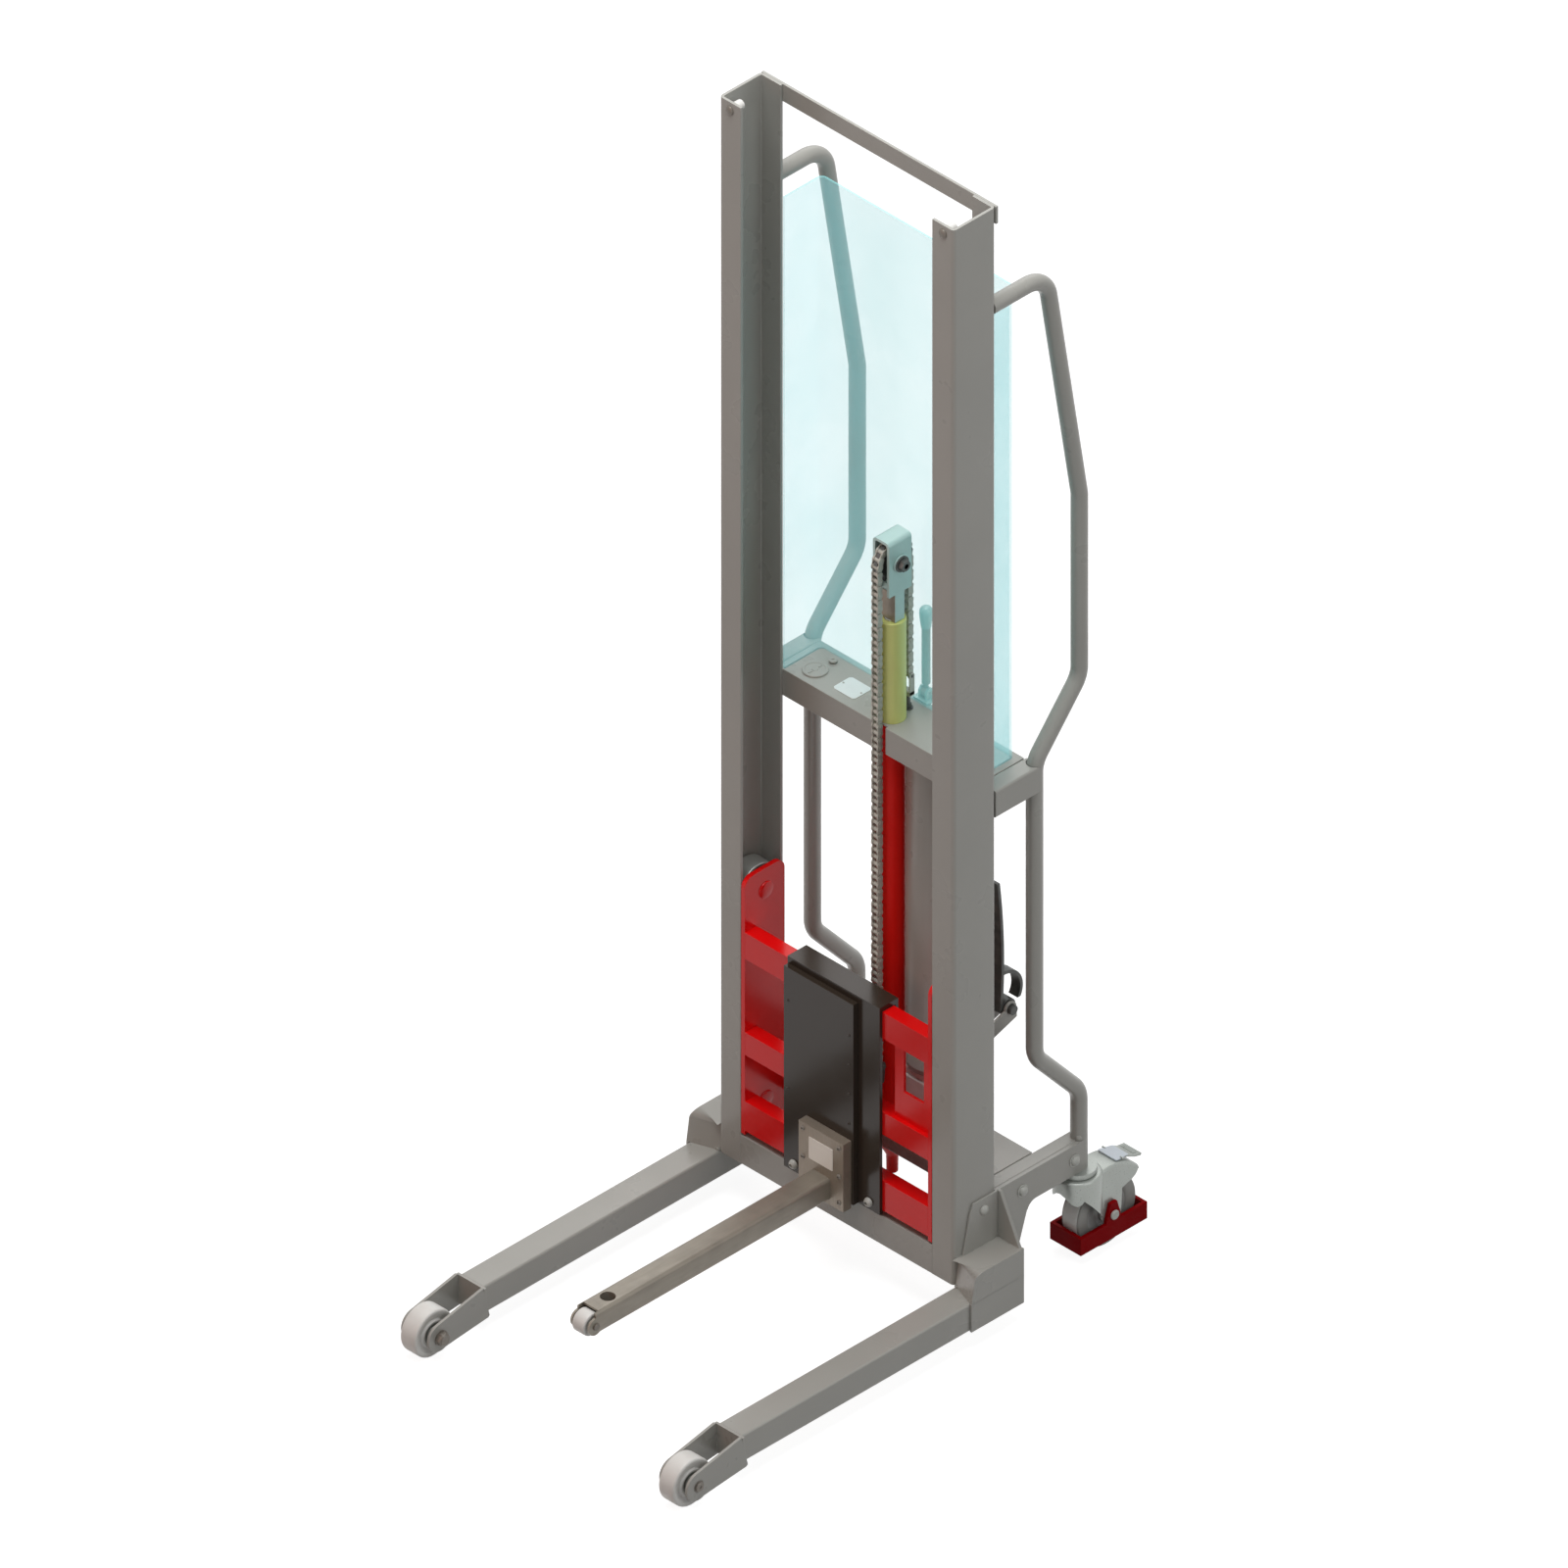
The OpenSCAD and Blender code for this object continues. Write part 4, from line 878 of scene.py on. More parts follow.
class Workshop:
    """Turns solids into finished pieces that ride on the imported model."""

    def __init__(self, cad: Cad) -> None:
        """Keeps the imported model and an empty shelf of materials.

        Args:
            cad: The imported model.
        """
        self.cad = cad
        self.shelf: dict[Finish, bpy.types.Material] = {}
        self.count = 0

    def material(self, finish: Finish) -> bpy.types.Material:
        """The material of a finish, made when it is first asked for.

        Args:
            finish: The finish.

        Returns:
            Its material.
        """
        if finish not in self.shelf:
            self.shelf[finish] = finish.surface.build()
        return self.shelf[finish]

    def make(
        self,
        name: str,
        solid: Solid,
        finish: Finish,
        body: Body,
        replaces: Sequence[str] = (),
        bevel: float = 0.0,
        segments: int = 2,
        crease: float = 32.0,
        flat: bool = False,
    ) -> bpy.types.Object:
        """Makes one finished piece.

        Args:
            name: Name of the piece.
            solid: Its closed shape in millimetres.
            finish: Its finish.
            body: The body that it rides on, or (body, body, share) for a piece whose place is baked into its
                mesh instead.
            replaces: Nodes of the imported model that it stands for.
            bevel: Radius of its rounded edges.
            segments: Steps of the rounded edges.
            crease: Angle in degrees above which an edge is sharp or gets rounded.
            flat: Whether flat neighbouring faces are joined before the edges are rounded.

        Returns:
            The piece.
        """
        mesh = bpy.data.meshes.new(name)
        mesh.from_pydata(self.cad.metres(solid.points).tolist(), [], solid.faces)
        work = bmesh.new()
        work.from_mesh(mesh)
        bmesh.ops.remove_doubles(work, verts=work.verts, dist=2e-6)
        bmesh.ops.dissolve_degenerate(work, edges=work.edges, dist=1e-6)
        if flat:
            bmesh.ops.dissolve_limit(
                work, angle_limit=math.radians(0.4), verts=work.verts, edges=work.edges, delimit=set()
            )
        bmesh.ops.recalc_face_normals(work, faces=work.faces)
        for face in work.faces:
            face.smooth = True
        work.to_mesh(mesh)
        work.free()
        piece = bpy.data.objects.new(name, mesh)
        bpy.context.scene.collection.objects.link(piece)
        mesh.materials.append(self.material(finish))
        if bevel:
            edge = piece.modifiers.new("edges", "BEVEL")
            edge.width = bevel * MM
            edge.segments = segments
            edge.limit_method = "ANGLE"
            edge.angle_limit = math.radians(crease)
            edge.harden_normals = True
            edge.use_clamp_overlap = True
        else:
            mesh.set_sharp_from_angle(angle=math.radians(crease))
        self.attach(piece, body, replaces)
        return piece

    def attach(
        self, piece: bpy.types.Object, body: Body, replaces: Sequence[str]
    ) -> None:
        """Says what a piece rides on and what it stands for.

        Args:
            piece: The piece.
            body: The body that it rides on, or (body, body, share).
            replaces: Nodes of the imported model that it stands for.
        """
        if isinstance(body, tuple):
            self.share(piece, *body)
        else:
            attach(piece, body)
        if replaces:
            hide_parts(*replaces)
        self.count += 1
        LOG.info("piece %s on %s", piece.name, body)

    def share(self, piece: bpy.types.Object, first: str, second: str, part: float) -> None:
        """Bakes a piece's place into its mesh; the piece rides on no body and does not move.

        Args:
            piece: The piece.
            first: Not used.
            second: Not used.
            part: Not used.
        """
        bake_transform(piece)

    def soften(self, node: str, finish: Finish, body: str, bevel: float = 0.8, segments: int = 2) -> None:
        """Stands a copy of a node with rounded edges in the node's place."""
        self.make(node + "_finished", self.cad.solid(node), finish, body, [node], bevel, segments, flat=True)

    def both(self, name: str, solid: Solid, finish: Finish, body: str = CHASSIS, **details: object) -> None:
        """Makes a piece on the right and its mirror image on the left.

        Args:
            name: Name of the piece without its side.
            solid: The right one's shape.
            finish: Their finish.
            body: The body that they ride on; {} in it stands for the side.
            details: What make takes besides; {} in a name in replaces stands for the side.
        """
        replaces = details.pop("replaces", ())
        for side in SIDES:
            shape = solid if side == "right" else solid.mirrored()
            nodes = [node.format(side) for node in replaces]
            self.make(f"{name}_{side}", shape, finish, body.format(side), nodes, **details)

    def pair(
        self, name: str, solid: Solid, finish: Finish, node: str, body: str = CHASSIS, bevel: float = 0.0
    ) -> None:
        """Makes a piece on each side of one body; the right one stands for their node."""
        self.make(name + "_right", solid, finish, body, [node], bevel=bevel)
        self.make(name + "_left", solid.mirrored(), finish, body, bevel=bevel)


@dataclass
class Assembly(ABC):
    """A sub-assembly of the machine.

    Attributes:
        shop: Where its pieces are made.
    """

    shop: Workshop

    @property
    def cad(self) -> Cad:
        """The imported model."""
        return self.shop.cad

    @abstractmethod
    def build(self) -> None:
        """Makes every piece of the sub-assembly."""


class Roller:
    """Profiles shared by the rollers and wheels: each is (across, radius) from the middle."""

    @staticmethod
    def mirror(half: Sequence[Sequence[float]]) -> Profile:
        """A profile's left half, then its mirror image."""
        return [tuple(p) for p in half] + [(-x, r) for x, r in half[::-1]]

    @staticmethod
    def tread(width: float, radius: float, bore: float, edge: float, dish: float) -> Profile:
        """A solid roller with rounded shoulders and a dished face on each side.

        Args:
            width: Width over the shoulders.
            radius: Outer radius.
            bore: Radius of the seat of its bearing.
            edge: Radius of the shoulders.
            dish: Depth of the dish.

        Returns:
            The profile, a ring from the bore out to the tread and back.
        """
        side = -width / 2
        rim = arc((side + edge, radius - edge), edge, 180, 90, 5)
        span = radius - bore
        half = [
            (side + 0.6, bore), (side, bore + 0.6), (side, bore + 0.14 * span),
            (side + 0.5 * dish, bore + 0.2 * span), (side + dish, bore + 0.27 * span),
            (side + dish, bore + 0.5 * span), (side + 0.3 * dish, bore + 0.62 * span),
            (side, bore + 0.68 * span), *rim.tolist(),
        ]
        return Roller.mirror(half)

    @staticmethod
    def bearing(width: float, radius: float, bore: float) -> Profile:
        """A sealed ball bearing: two races that stand proud of the seal between them.

        Args:
            width: Width over the races.
            radius: Outer radius.
            bore: Radius of the bore.

        Returns:
            The profile, a ring from the bore out and back.
        """
        side = -width / 2
        span = radius - bore
        half = [
            (side + 0.4, bore), (side, bore + 0.4), (side, bore + 0.26 * span),
            (side + 0.9, bore + 0.3 * span), (side + 0.9, bore + 0.7 * span),
            (side, bore + 0.74 * span), (side, radius - 0.4), (side + 0.4, radius),
        ]
        return Roller.mirror(half)


@dataclass
class MastFrame(Assembly):
    """The mast's channels and beams, the legs, brackets, arms and base behind it."""

    edge: float = 0.8
    sheet_edge: float = 1.3
    bracket_wall: float = 4.0
    bracket_edge: float = 2.0
    bracket_lean: float = 6.0
    box_rise: float = 48.5
    box_bend: float = 9.0
    box_set_back: float = 19.0
    box_reach: tuple[float, float] = (-12.0, 25.0)
    wall_front: float = 25.0
    wall_chamfer: tuple[float, float] = (13.0, 16.0)
    gusset: float = 6.0
    arm_bolts: tuple[float, float] = (56.0, 167.0)
    arm_bolt_drop: float = 27.5
    tube_screw_rise: float = 4.0
    corner_bolt: tuple[float, float] = (60.0, -18.0)
    bolt_radius: float = 8.0
    bolt_height: float = 6.0
    stop_inset: float = 23.0
    stop_drop: float = 15.0
    stop_radius: float = 8.0
    stop_start: float = 5.0
    stop_length: float = 20.0

    def build(self) -> None:
        """Makes every piece of the frame."""
        for side in SIDES:
            self.shop.soften(f"mast_upright_{side}", Finish.GREY, CHASSIS, self.edge)
            self.shop.soften(f"leg_{side}", Finish.GREY, CHASSIS, self.edge)
            self.shop.soften(f"leg_fork_{side}", Finish.GREY, CHASSIS, 1.0)
        for node in ("mast_top_bar", "mast_foot_beam"):
            self.shop.soften(node, Finish.GREY, CHASSIS, self.edge)
        for node in ("base_plate", "lower_arms"):
            self.shop.soften(node, Finish.GREY, CHASSIS, self.sheet_edge)
        self.brackets()
        self.fasteners()

    def brackets(self) -> None:
        """Makes the folded box, the wall plate and the gusset of each corner bracket."""
        cad = self.cad
        low, high = cad.ends("corner_brackets")
        mast, leg_top = cad.high("mast_upright_right")[0], cad.high("leg_right")[2]
        top = cad.high("foot_guard_right")[2] + self.box_rise
        outer, t = high[0], self.bracket_wall
        flange = block((outer - t, low[1], low[2]), (outer, high[1], leg_top + 1))
        box = joined(self.folded_box((mast, outer), (leg_top, top), low[1], high[1]), flange)
        self.shop.both("bracket_box", box, Finish.GREY, bevel=self.bracket_edge, segments=3, crease=38)
        rear = high[1] - self.gusset
        dy, dz = self.wall_chamfer
        wall = rounded(
            [(self.wall_front - 9, top - 1), (rear, top - 1), (rear, high[2]),
             (self.wall_front + dy, high[2]), (self.wall_front + 6, high[2] - dz)],
            [0, 0, 0, 4, 6],
        )
        self.shop.both("bracket_wall", plate(wall, Plane.YZ, mast, mast + t), Finish.GREY, bevel=1.2)
        web = [(mast, top - 2), (outer - t, top - 2), (mast + 8, high[2]), (mast, high[2])]
        gusset = plate(rounded(web, [0, 1.5, 2, 0]), Plane.XZ, rear, high[1])
        self.shop.both("bracket_gusset", gusset, Finish.GREY, bevel=1.2)
        lip = block((mast + 1, low[1] + 16, leg_top), (mast + 46, low[1] + t + 26, leg_top + t))
        self.shop.pair("bracket_seat", lip, Finish.GREY, "corner_brackets", bevel=0.8)

    def folded_box(
        self, across: tuple[float, float], levels: tuple[float, float], front: float, rear: float
    ) -> Solid:
        """The box on the leg, a stack of four-sided rings from the leg up to its bent front edge.

        At a share u from the mast outwards and a height z the front lies at
        front + set_back * (1 - u) + lean * (z - bottom) / (bend - bottom). In the bend at
        angle a it moves on by (reach_outer * u + reach_mast * (1 - u)) * (1 - cos a).

        Args:
            across: Where the box starts at the mast and where it ends.
            levels: Its bottom and its top.
            front: Where its front starts at the bottom, outside.
            rear: Where it ends.

        Returns:
            The closed box.
        """
        bottom, top = levels
        bend = top - self.box_bend
        turns = np.radians(np.linspace(0, 90, 7)[1:])
        heights = np.concatenate([[bottom, bend], bend + self.box_bend * np.sin(turns)])
        share = np.concatenate([[0, 0], 1 - np.cos(turns)])
        lean = np.where(heights > bottom, self.bracket_lean, 0.0)
        rings = np.zeros((len(heights), 4, 3))
        rings[..., 0] = across[0], across[1], across[1], across[0]
        rings[:, 0, 1] = front + self.box_set_back + lean + self.box_reach[0] * share
        rings[:, 1, 1] = front + lean + self.box_reach[1] * share
        rings[:, 2:, 1] = rear
        rings[..., 2] = heights[:, None]
        end = 4 * (len(rings) - 1)
        faces = grid_faces(len(rings), 4, False, True)
        faces += [(3, 2, 1, 0), (end, end + 1, end + 2, end + 3)]
        return Solid(rings.reshape(-1, 3), faces)

    def fasteners(self) -> None:
        """Makes the bolts of the brackets and arms, and the stops at the mast's top."""
        cad = self.cad
        mast, arm_top = cad.high("mast_upright_right"), cad.high("base_plate")[2]
        along, up = self.corner_bolt
        seat = (mast[0] + self.bracket_wall, along, arm_top + up)
        heads = [dome_bolt(seat, Axis.X, self.bolt_radius, self.bolt_height)]
        washers = []
        for along in self.arm_bolts:
            seat = (mast[0], mast[1] + along, arm_top - self.arm_bolt_drop)
            washers.append(lathe([(0, 5), (0, 10.4), (1.2, 10.8), (1.6, 10.4), (1.6, 5)], seat, Axis.X))
            seat = (mast[0] + 1.5, seat[1], seat[2])
            heads.append(dome_bolt(seat, Axis.X, self.bolt_radius, self.bolt_height))
        centre = (mast[0] - self.stop_inset, 0, mast[2] - self.stop_drop)
        r, end = self.stop_radius, self.stop_start + self.stop_length
        profile = [(self.stop_start, r - 1), (self.stop_start + 1, r), (end - 1, r), (end, r - 1), (end, 0),
                   (self.stop_start, 0)]
        stop = lathe(profile, centre, Axis.Y, 32)
        head = dome_bolt(centre, Axis.Y, 8, 4).rotated(180, Axis.Z, centre)
        x, y = cad.middle("handle_right")[0], cad.pivot("caster_right_swivel")[1]
        z = arm_top + self.tube_screw_rise
        screw = dome_bolt((x + 13.0, y, z), Axis.X, 5, 2.6).rotated(-45, Axis.Z, (x, y, z))
        self.shop.both("mast_stop_head", head, Finish.DULL)
        self.shop.both("tube_screw", screw, Finish.GREY)
        self.shop.pair("frame_bolts", joined(*heads, *washers), Finish.BOLT, "frame_bolts")
        self.shop.both("mast_stop", stop, Finish.NYLON)


@dataclass
class FrontRollers(Assembly):
    """The nylon rollers at the legs' tips, their bearings and axles."""

    edge: float = 3.5
    dish: float = 2.6
    seat_radius: float = 19.0
    axle_radius: float = 10.0

    def build(self) -> None:
        """Makes the rollers, bearings and axles."""
        cad = self.cad
        low, high = cad.ends("front_roller_right")
        middle, width = cad.middle("front_roller_right"), high[0] - low[0]
        radius = (high[2] - low[2]) / 2
        profile = Roller.tread(width, radius, self.seat_radius, self.edge, self.dish)
        self.shop.both("front_roller_tread", lathe(profile, middle, Axis.X, 96), Finish.NYLON, "roller_{}",
                       replaces=["front_roller_{}"], crease=40)
        profile = Roller.bearing(width - 1.5, self.seat_radius, self.axle_radius + 0.1)
        self.shop.both("front_roller_bearing", lathe(profile, middle, Axis.X, 64), Finish.ROLLER, "roller_{}")
        self.axles()

    def axles(self) -> None:
        """Makes each axle: a shaft, a button head outside and a nut on its thread inside."""
        cad = self.cad
        inner, outer = cad.low("leg_fork_right")[0], cad.high("leg_fork_right")[0]
        x, y, z = cad.middle("front_roller_right")
        shaft = rod((inner - 10, y, z), Axis.X, outer - inner + 10, self.axle_radius - 0.05)
        thread = threaded((inner - 11, y, z), Axis.X, 6, self.axle_radius - 1, 1.6)
        head = lathe([(0, 0), (0, 7.6), (0.6, 8), (2.6, 8), (4, 6.6), (4, 3), (2.8, 2.4), (2.8, 0)],
                     (outer, y, z), Axis.X, 48)
        spacers = [
            lathe([(0, 10), (0, 15), (6.4, 15), (6.4, 10)], (start, y, z), Axis.X, 40)
            for start in (inner + 5, x + 17.4)
        ]
        nut = lathe([(0, 0), (0, 12.4), (-1.6, 12.8), (-1.8, 11.8), (-8, 11.8), (-9, 10), (-9, 0)],
                    (inner, y, z), Axis.X, 48, hexed=(3, 4))
        self.shop.pair("front_axle", joined(shaft, thread, head, nut, *spacers), Finish.DULL, "front_axles")


@dataclass
class Handles(Assembly):
    """The two bent tube handles and the arms that hold them at the deck."""

    radius: float = 13.45
    bend: float = 48.0
    top: float = 1840.0
    route: Table = ((0, 0), (119, 0), (191, -439), (191, -774), (95.5, -888), (95.5, -1431), (190, -1539),
                    (190, -1680))
    sides: int = 40

    def build(self) -> None:
        """Makes the handles and their arms.

        A handle is a circle carried along a path in one plane whose corners are arcs.
        """
        cad = self.cad
        mast_rear = cad.high("mast_upright_right")[1]
        x = cad.middle("handle_right")[0]
        corners = [(x, mast_rear + along, self.top + up) for along, up in self.route]
        path = rounded(corners, self.bend, 14, closed=False)
        tube = sweep(disc((0, 0), self.radius, self.sides), path, (1, 0, 0))
        self.shop.both("handle_tube", tube, Finish.GREY, replaces=["handle_{}"], crease=60)
        self.shop.soften("upper_arms", Finish.GREY, CHASSIS, 1.6, 3)


@dataclass
class Deck(Assembly):
    """The deck tray with its fittings, and the clear guard that stands on it."""

    cap: tuple[float, float] = (-167.0, 32.0)
    cap_radius: float = 20.5
    knob: tuple[float, float] = (-163.0, 66.0)
    blank: tuple[float, float] = (-94.0, 38.0)
    blank_size: tuple[float, float, float] = (46.0, 40.0, 1.0)
    blank_cut: float = 4.0
    guard_wall: float = 4.0
    guard_bend: float = 9.0

    def build(self) -> None:
        """Makes the tray, the fittings and the guard."""
        self.shop.soften("deck_tray", Finish.GREY, CHASSIS, 1.2)
        self.fittings()
        self.blank_plate()
        self.lever_base()
        self.guard()

    def spot(self, across: float, along: float) -> tuple[float, float, float]:
        """A place on the tray, so far from its middle and so far behind the mast."""
        cad = self.cad
        return across, cad.high("mast_upright_right")[1] + along, cad.high("deck_tray")[2]

    def fittings(self) -> None:
        """Makes the filler cap and the bleed knob."""
        x, y, top = self.spot(*self.cap)
        r = self.cap_radius
        profile = [(0, 0), (0, r), (1.8, r), (2.8, r - 0.9), (2.8, r - 4.2), (2.2, r - 4.8), (2.2, 5.5),
                   (3.0, 4.6), (3.0, 0)]
        cap = lathe(profile, (x, y, top), Axis.Z, 64)
        slots = [
            block((x - 1.4, y + middle - 3.5, top + 2), (x + 1.4, y + middle + 3.5, top + 3))
            for middle in (-11, 11)
        ]
        self.shop.make("filler_cap", joined(cap, *slots), Finish.GREY, CHASSIS, ["deck_fittings"])
        profile = [(0, 0), (0, 5.2), (1.6, 5.2), (2, 6.4), (2.6, 7), (4.2, 7), (5, 6.2), (5, 2.6),
                   (4, 2.2), (4, 0)]
        knob = lathe(profile, self.spot(*self.knob), Axis.Z, 40, hexed=(7, 8))
        self.shop.make("bleed_knob", knob, Finish.GREY, CHASSIS)

    def blank_plate(self) -> None:
        """Makes the blank plate with cut corners and the two pins that hold it."""
        w, d, h = self.blank_size
        x, y, top = self.spot(*self.blank)
        c = self.blank_cut
        corners = [(w / 2 - c, -d / 2), (w / 2, -d / 2 + c), (w / 2, d / 2 - c), (w / 2 - c, d / 2)]
        corners += [(-across, along) for across, along in corners[::-1]]
        blank = plate(np.array(corners) + [x, y], Plane.XY, top, top + h)
        self.shop.make("blank_plate", blank, Finish.BLANK, CHASSIS, bevel=0.3)
        pins = [button_bolt((x + a * (w / 2 - 4), y, top + h), Axis.Z, 1.8, 1.1) for a in (-1, 1)]
        self.shop.make("blank_plate_pins", joined(*pins), Finish.BOLT, CHASSIS)

    def lever_base(self) -> None:
        """Makes the foot plate and the two ears that hold the release lever."""
        cad = self.cad
        top = cad.high("deck_tray")[2]
        x, y, z = cad.pivot("lever_release")
        foot = plate(rounded(oblong((x - 16, y - 13), (x + 16, y + 9)), 3), Plane.XY, top, top + 4)
        self.shop.make("lever_foot", foot, Finish.HEAD, CHASSIS, bevel=0.6)
        corners = [(y - 8, top + 3.8), (y + 8, top + 3.8), (y + 8, z + 2), (y + 3, z + 9), (y - 3, z + 9),
                   (y - 8, z + 2)]
        ear = rounded(corners, [0, 0, 3, 3, 3, 3])
        ears = [plate(ear, Plane.YZ, x + a, x + a + 4, [disc((y, z), 3.1, 24)]) for a in (-9, 5)]
        self.shop.make("lever_ears", joined(*ears), Finish.HEAD, CHASSIS, bevel=0.4)
        screws = [button_bolt((x + a, y + 4, top + 4), Axis.Z, 3.2, 2.4) for a in (-11, 11)]
        self.shop.make("lever_foot_screws", joined(*screws), Finish.BOLT, CHASSIS)

    def guard(self) -> None:
        """Makes the clear guard: one sheet bent to a U, with deeper coloured cut edges."""
        cad = self.cad
        low, high = cad.ends("guard_screen")
        half = self.guard_wall / 2
        path = rounded(
            [(low[0] + half, low[1]), (low[0] + half, high[1] - half),
             (high[0] - half, high[1] - half), (high[0] - half, low[1])],
            self.guard_bend, 8, closed=False,
        )
        sheet = plate(strip(path, self.guard_wall), Plane.XY, low[2], high[2])
        piece = self.shop.make("guard_sheet", sheet, Finish.CLEAR, CHASSIS, ["guard_screen"], bevel=0.4,
                               segments=1)
        piece.data.materials.append(self.shop.material(Finish.CLEAR_EDGE))
        polygons = piece.data.polygons
        normals, centres = np.empty(len(polygons) * 3), np.empty(len(polygons) * 3)
        polygons.foreach_get("normal", normals)
        polygons.foreach_get("center", centres)
        normals, centres = normals.reshape(-1, 3), cad.millimetres(centres.reshape(-1, 3))
        at_front = (np.abs(normals[:, 1]) > 0.9) & (centres[:, 1] < low[1] + 1)
        cut = (normals[:, 2] > 0.9) | at_front
        polygons.foreach_set("material_index", cut.astype(np.int32))


@dataclass
class Ram(Assembly):
    """The cylinder, its sleeve, the rod, the head and the chain wheel in it."""

    washer_radius: float = 15.0
    bolt_radius: float = 12.0
    nose: float = 31.0
    nose_radius: float = 9.0
    coat: float = 1.2
    bore: float = 12.7
    rod_radius: float = 12.5
    axle_radius: float = 7.95

    def build(self) -> None:
        """Makes the fixed cylinder, then what rises with the rod."""
        self.cylinder()
        self.piston()
        self.shop.soften("ram_head", Finish.HEAD, "lift_ram", 1.4, 3)
        self.shop.soften("chain_wheel", Finish.DARK, "chain_wheel_body", 0.5)
        self.axle()

    def cylinder(self) -> None:
        """Makes the barrel with its weld on the base plate, and the sleeve on the deck."""
        cad = self.cad
        low, high = cad.ends("cylinder_barrel")
        x, y = cad.middle("cylinder_barrel")[:2]
        r = (high[0] - low[0]) / 2 + self.coat
        sleeve_low, sleeve_high = cad.ends("cylinder_sleeve")
        outer, bore = (sleeve_high[0] - sleeve_low[0]) / 2, self.bore
        top = high[2] - low[2]
        base = cad.high("base_plate")[2] - low[2]
        weld = arc((base, r), 2.6, 180, 0, 6)
        n = self.nose_radius
        barrel = [(0, 0), (0, n - 0.8), (0.8, n), (self.nose, n + 0.4), (self.nose + 2, n + 1.4),
                  (self.nose + 19, r - 0.8), (self.nose + 21, r), *weld.tolist(), (top - 3, r),
                  (top - 2, r - 1), (top - 2, bore), (top - 30, bore), (top - 30, 0)]
        # The barrel's lighter red is painted light against its shade.
        self.shop.make("barrel", lathe(barrel, (x, y, low[2]), Axis.Z, 64), Finish.RAM_RED, CHASSIS,
                       ["cylinder_barrel"])
        length = sleeve_high[2] - sleeve_low[2]
        sleeve = [(0.3, r + 0.05), (0, outer - 0.6), (0.6, outer), (length - 1.2, outer),
                  (length, outer - 1.2), (length, bore + 0.6), (length - 1.4, bore + 0.6),
                  (length - 1.6, r + 0.05)]
        self.shop.make("sleeve", lathe(sleeve, (x, y, sleeve_low[2]), Axis.Z, 72), Finish.SLEEVE, CHASSIS,
                       ["cylinder_sleeve"])

    def piston(self) -> None:
        """Makes the rod, the block at its end and a darker plate on the block's front face that is painted
        shade.
        """
        cad = self.cad
        x, y = cad.middle("cylinder_barrel")[:2]
        low, high = cad.ends("ram_rod")
        head_low = cad.low("ram_head")[2]
        block_low = cad.high("cylinder_sleeve")[2] + 0.4
        stick = rod((x, y, low[2]), Axis.Z, block_low + 2 - low[2], self.rod_radius, 0.6)
        self.shop.make("rod", stick, Finish.CHROME, "lift_ram", ["ram_rod"])
        body = block((low[0], y - 10, block_low), (high[0], y + 10, head_low))
        tongue = block((low[0] + 4, y - 10, head_low), (high[0] - 4, y + 10, high[2]))
        self.shop.make("rod_block", joined(body, tongue), Finish.HEAD, "lift_ram", bevel=1.0, segments=3)
        # A thin darker brown skin on the block's front face is painted shade on that side.
        face = block((low[0] + 0.8, y - 10.5, block_low + 1), (high[0] - 0.8, y - 9, head_low - 1))
        self.shop.make("rod_block_face", face, Finish.PLATE, "lift_ram", bevel=0.3)

    def axle(self) -> None:
        """Makes the chain wheel's axle with a washer and bolt outside and a nut inside."""
        cad = self.cad
        y, z = cad.pivot("chain_wheel_spin")[1:]
        side = cad.high("ram_head")[0]
        shaft = rod((-side, y, z), Axis.X, 2 * side, self.axle_radius)
        r = self.washer_radius
        profile = [(0, 7), (0, r - 0.6), (0.6, r), (2.4, r), (3, r - 0.6), (3, 7)]
        washer = lathe(profile, (side, y, z), Axis.X, 48)
        self.shop.make("wheel_axle", joined(shaft, washer), Finish.HEAD, "lift_ram", ["chain_wheel_axle"])
        head = hex_bolt((side + 3, y, z), Axis.X, self.bolt_radius * 0.86, 10)
        thread = threaded((side + 9, y, z), Axis.X, 4, 4.5, 1.25)
        nut = hex_bolt((-side, y, z), Axis.X, self.bolt_radius * 0.86, -8)
        self.shop.make("wheel_axle_bolts", joined(head, thread, nut), Finish.DARK, "lift_ram")


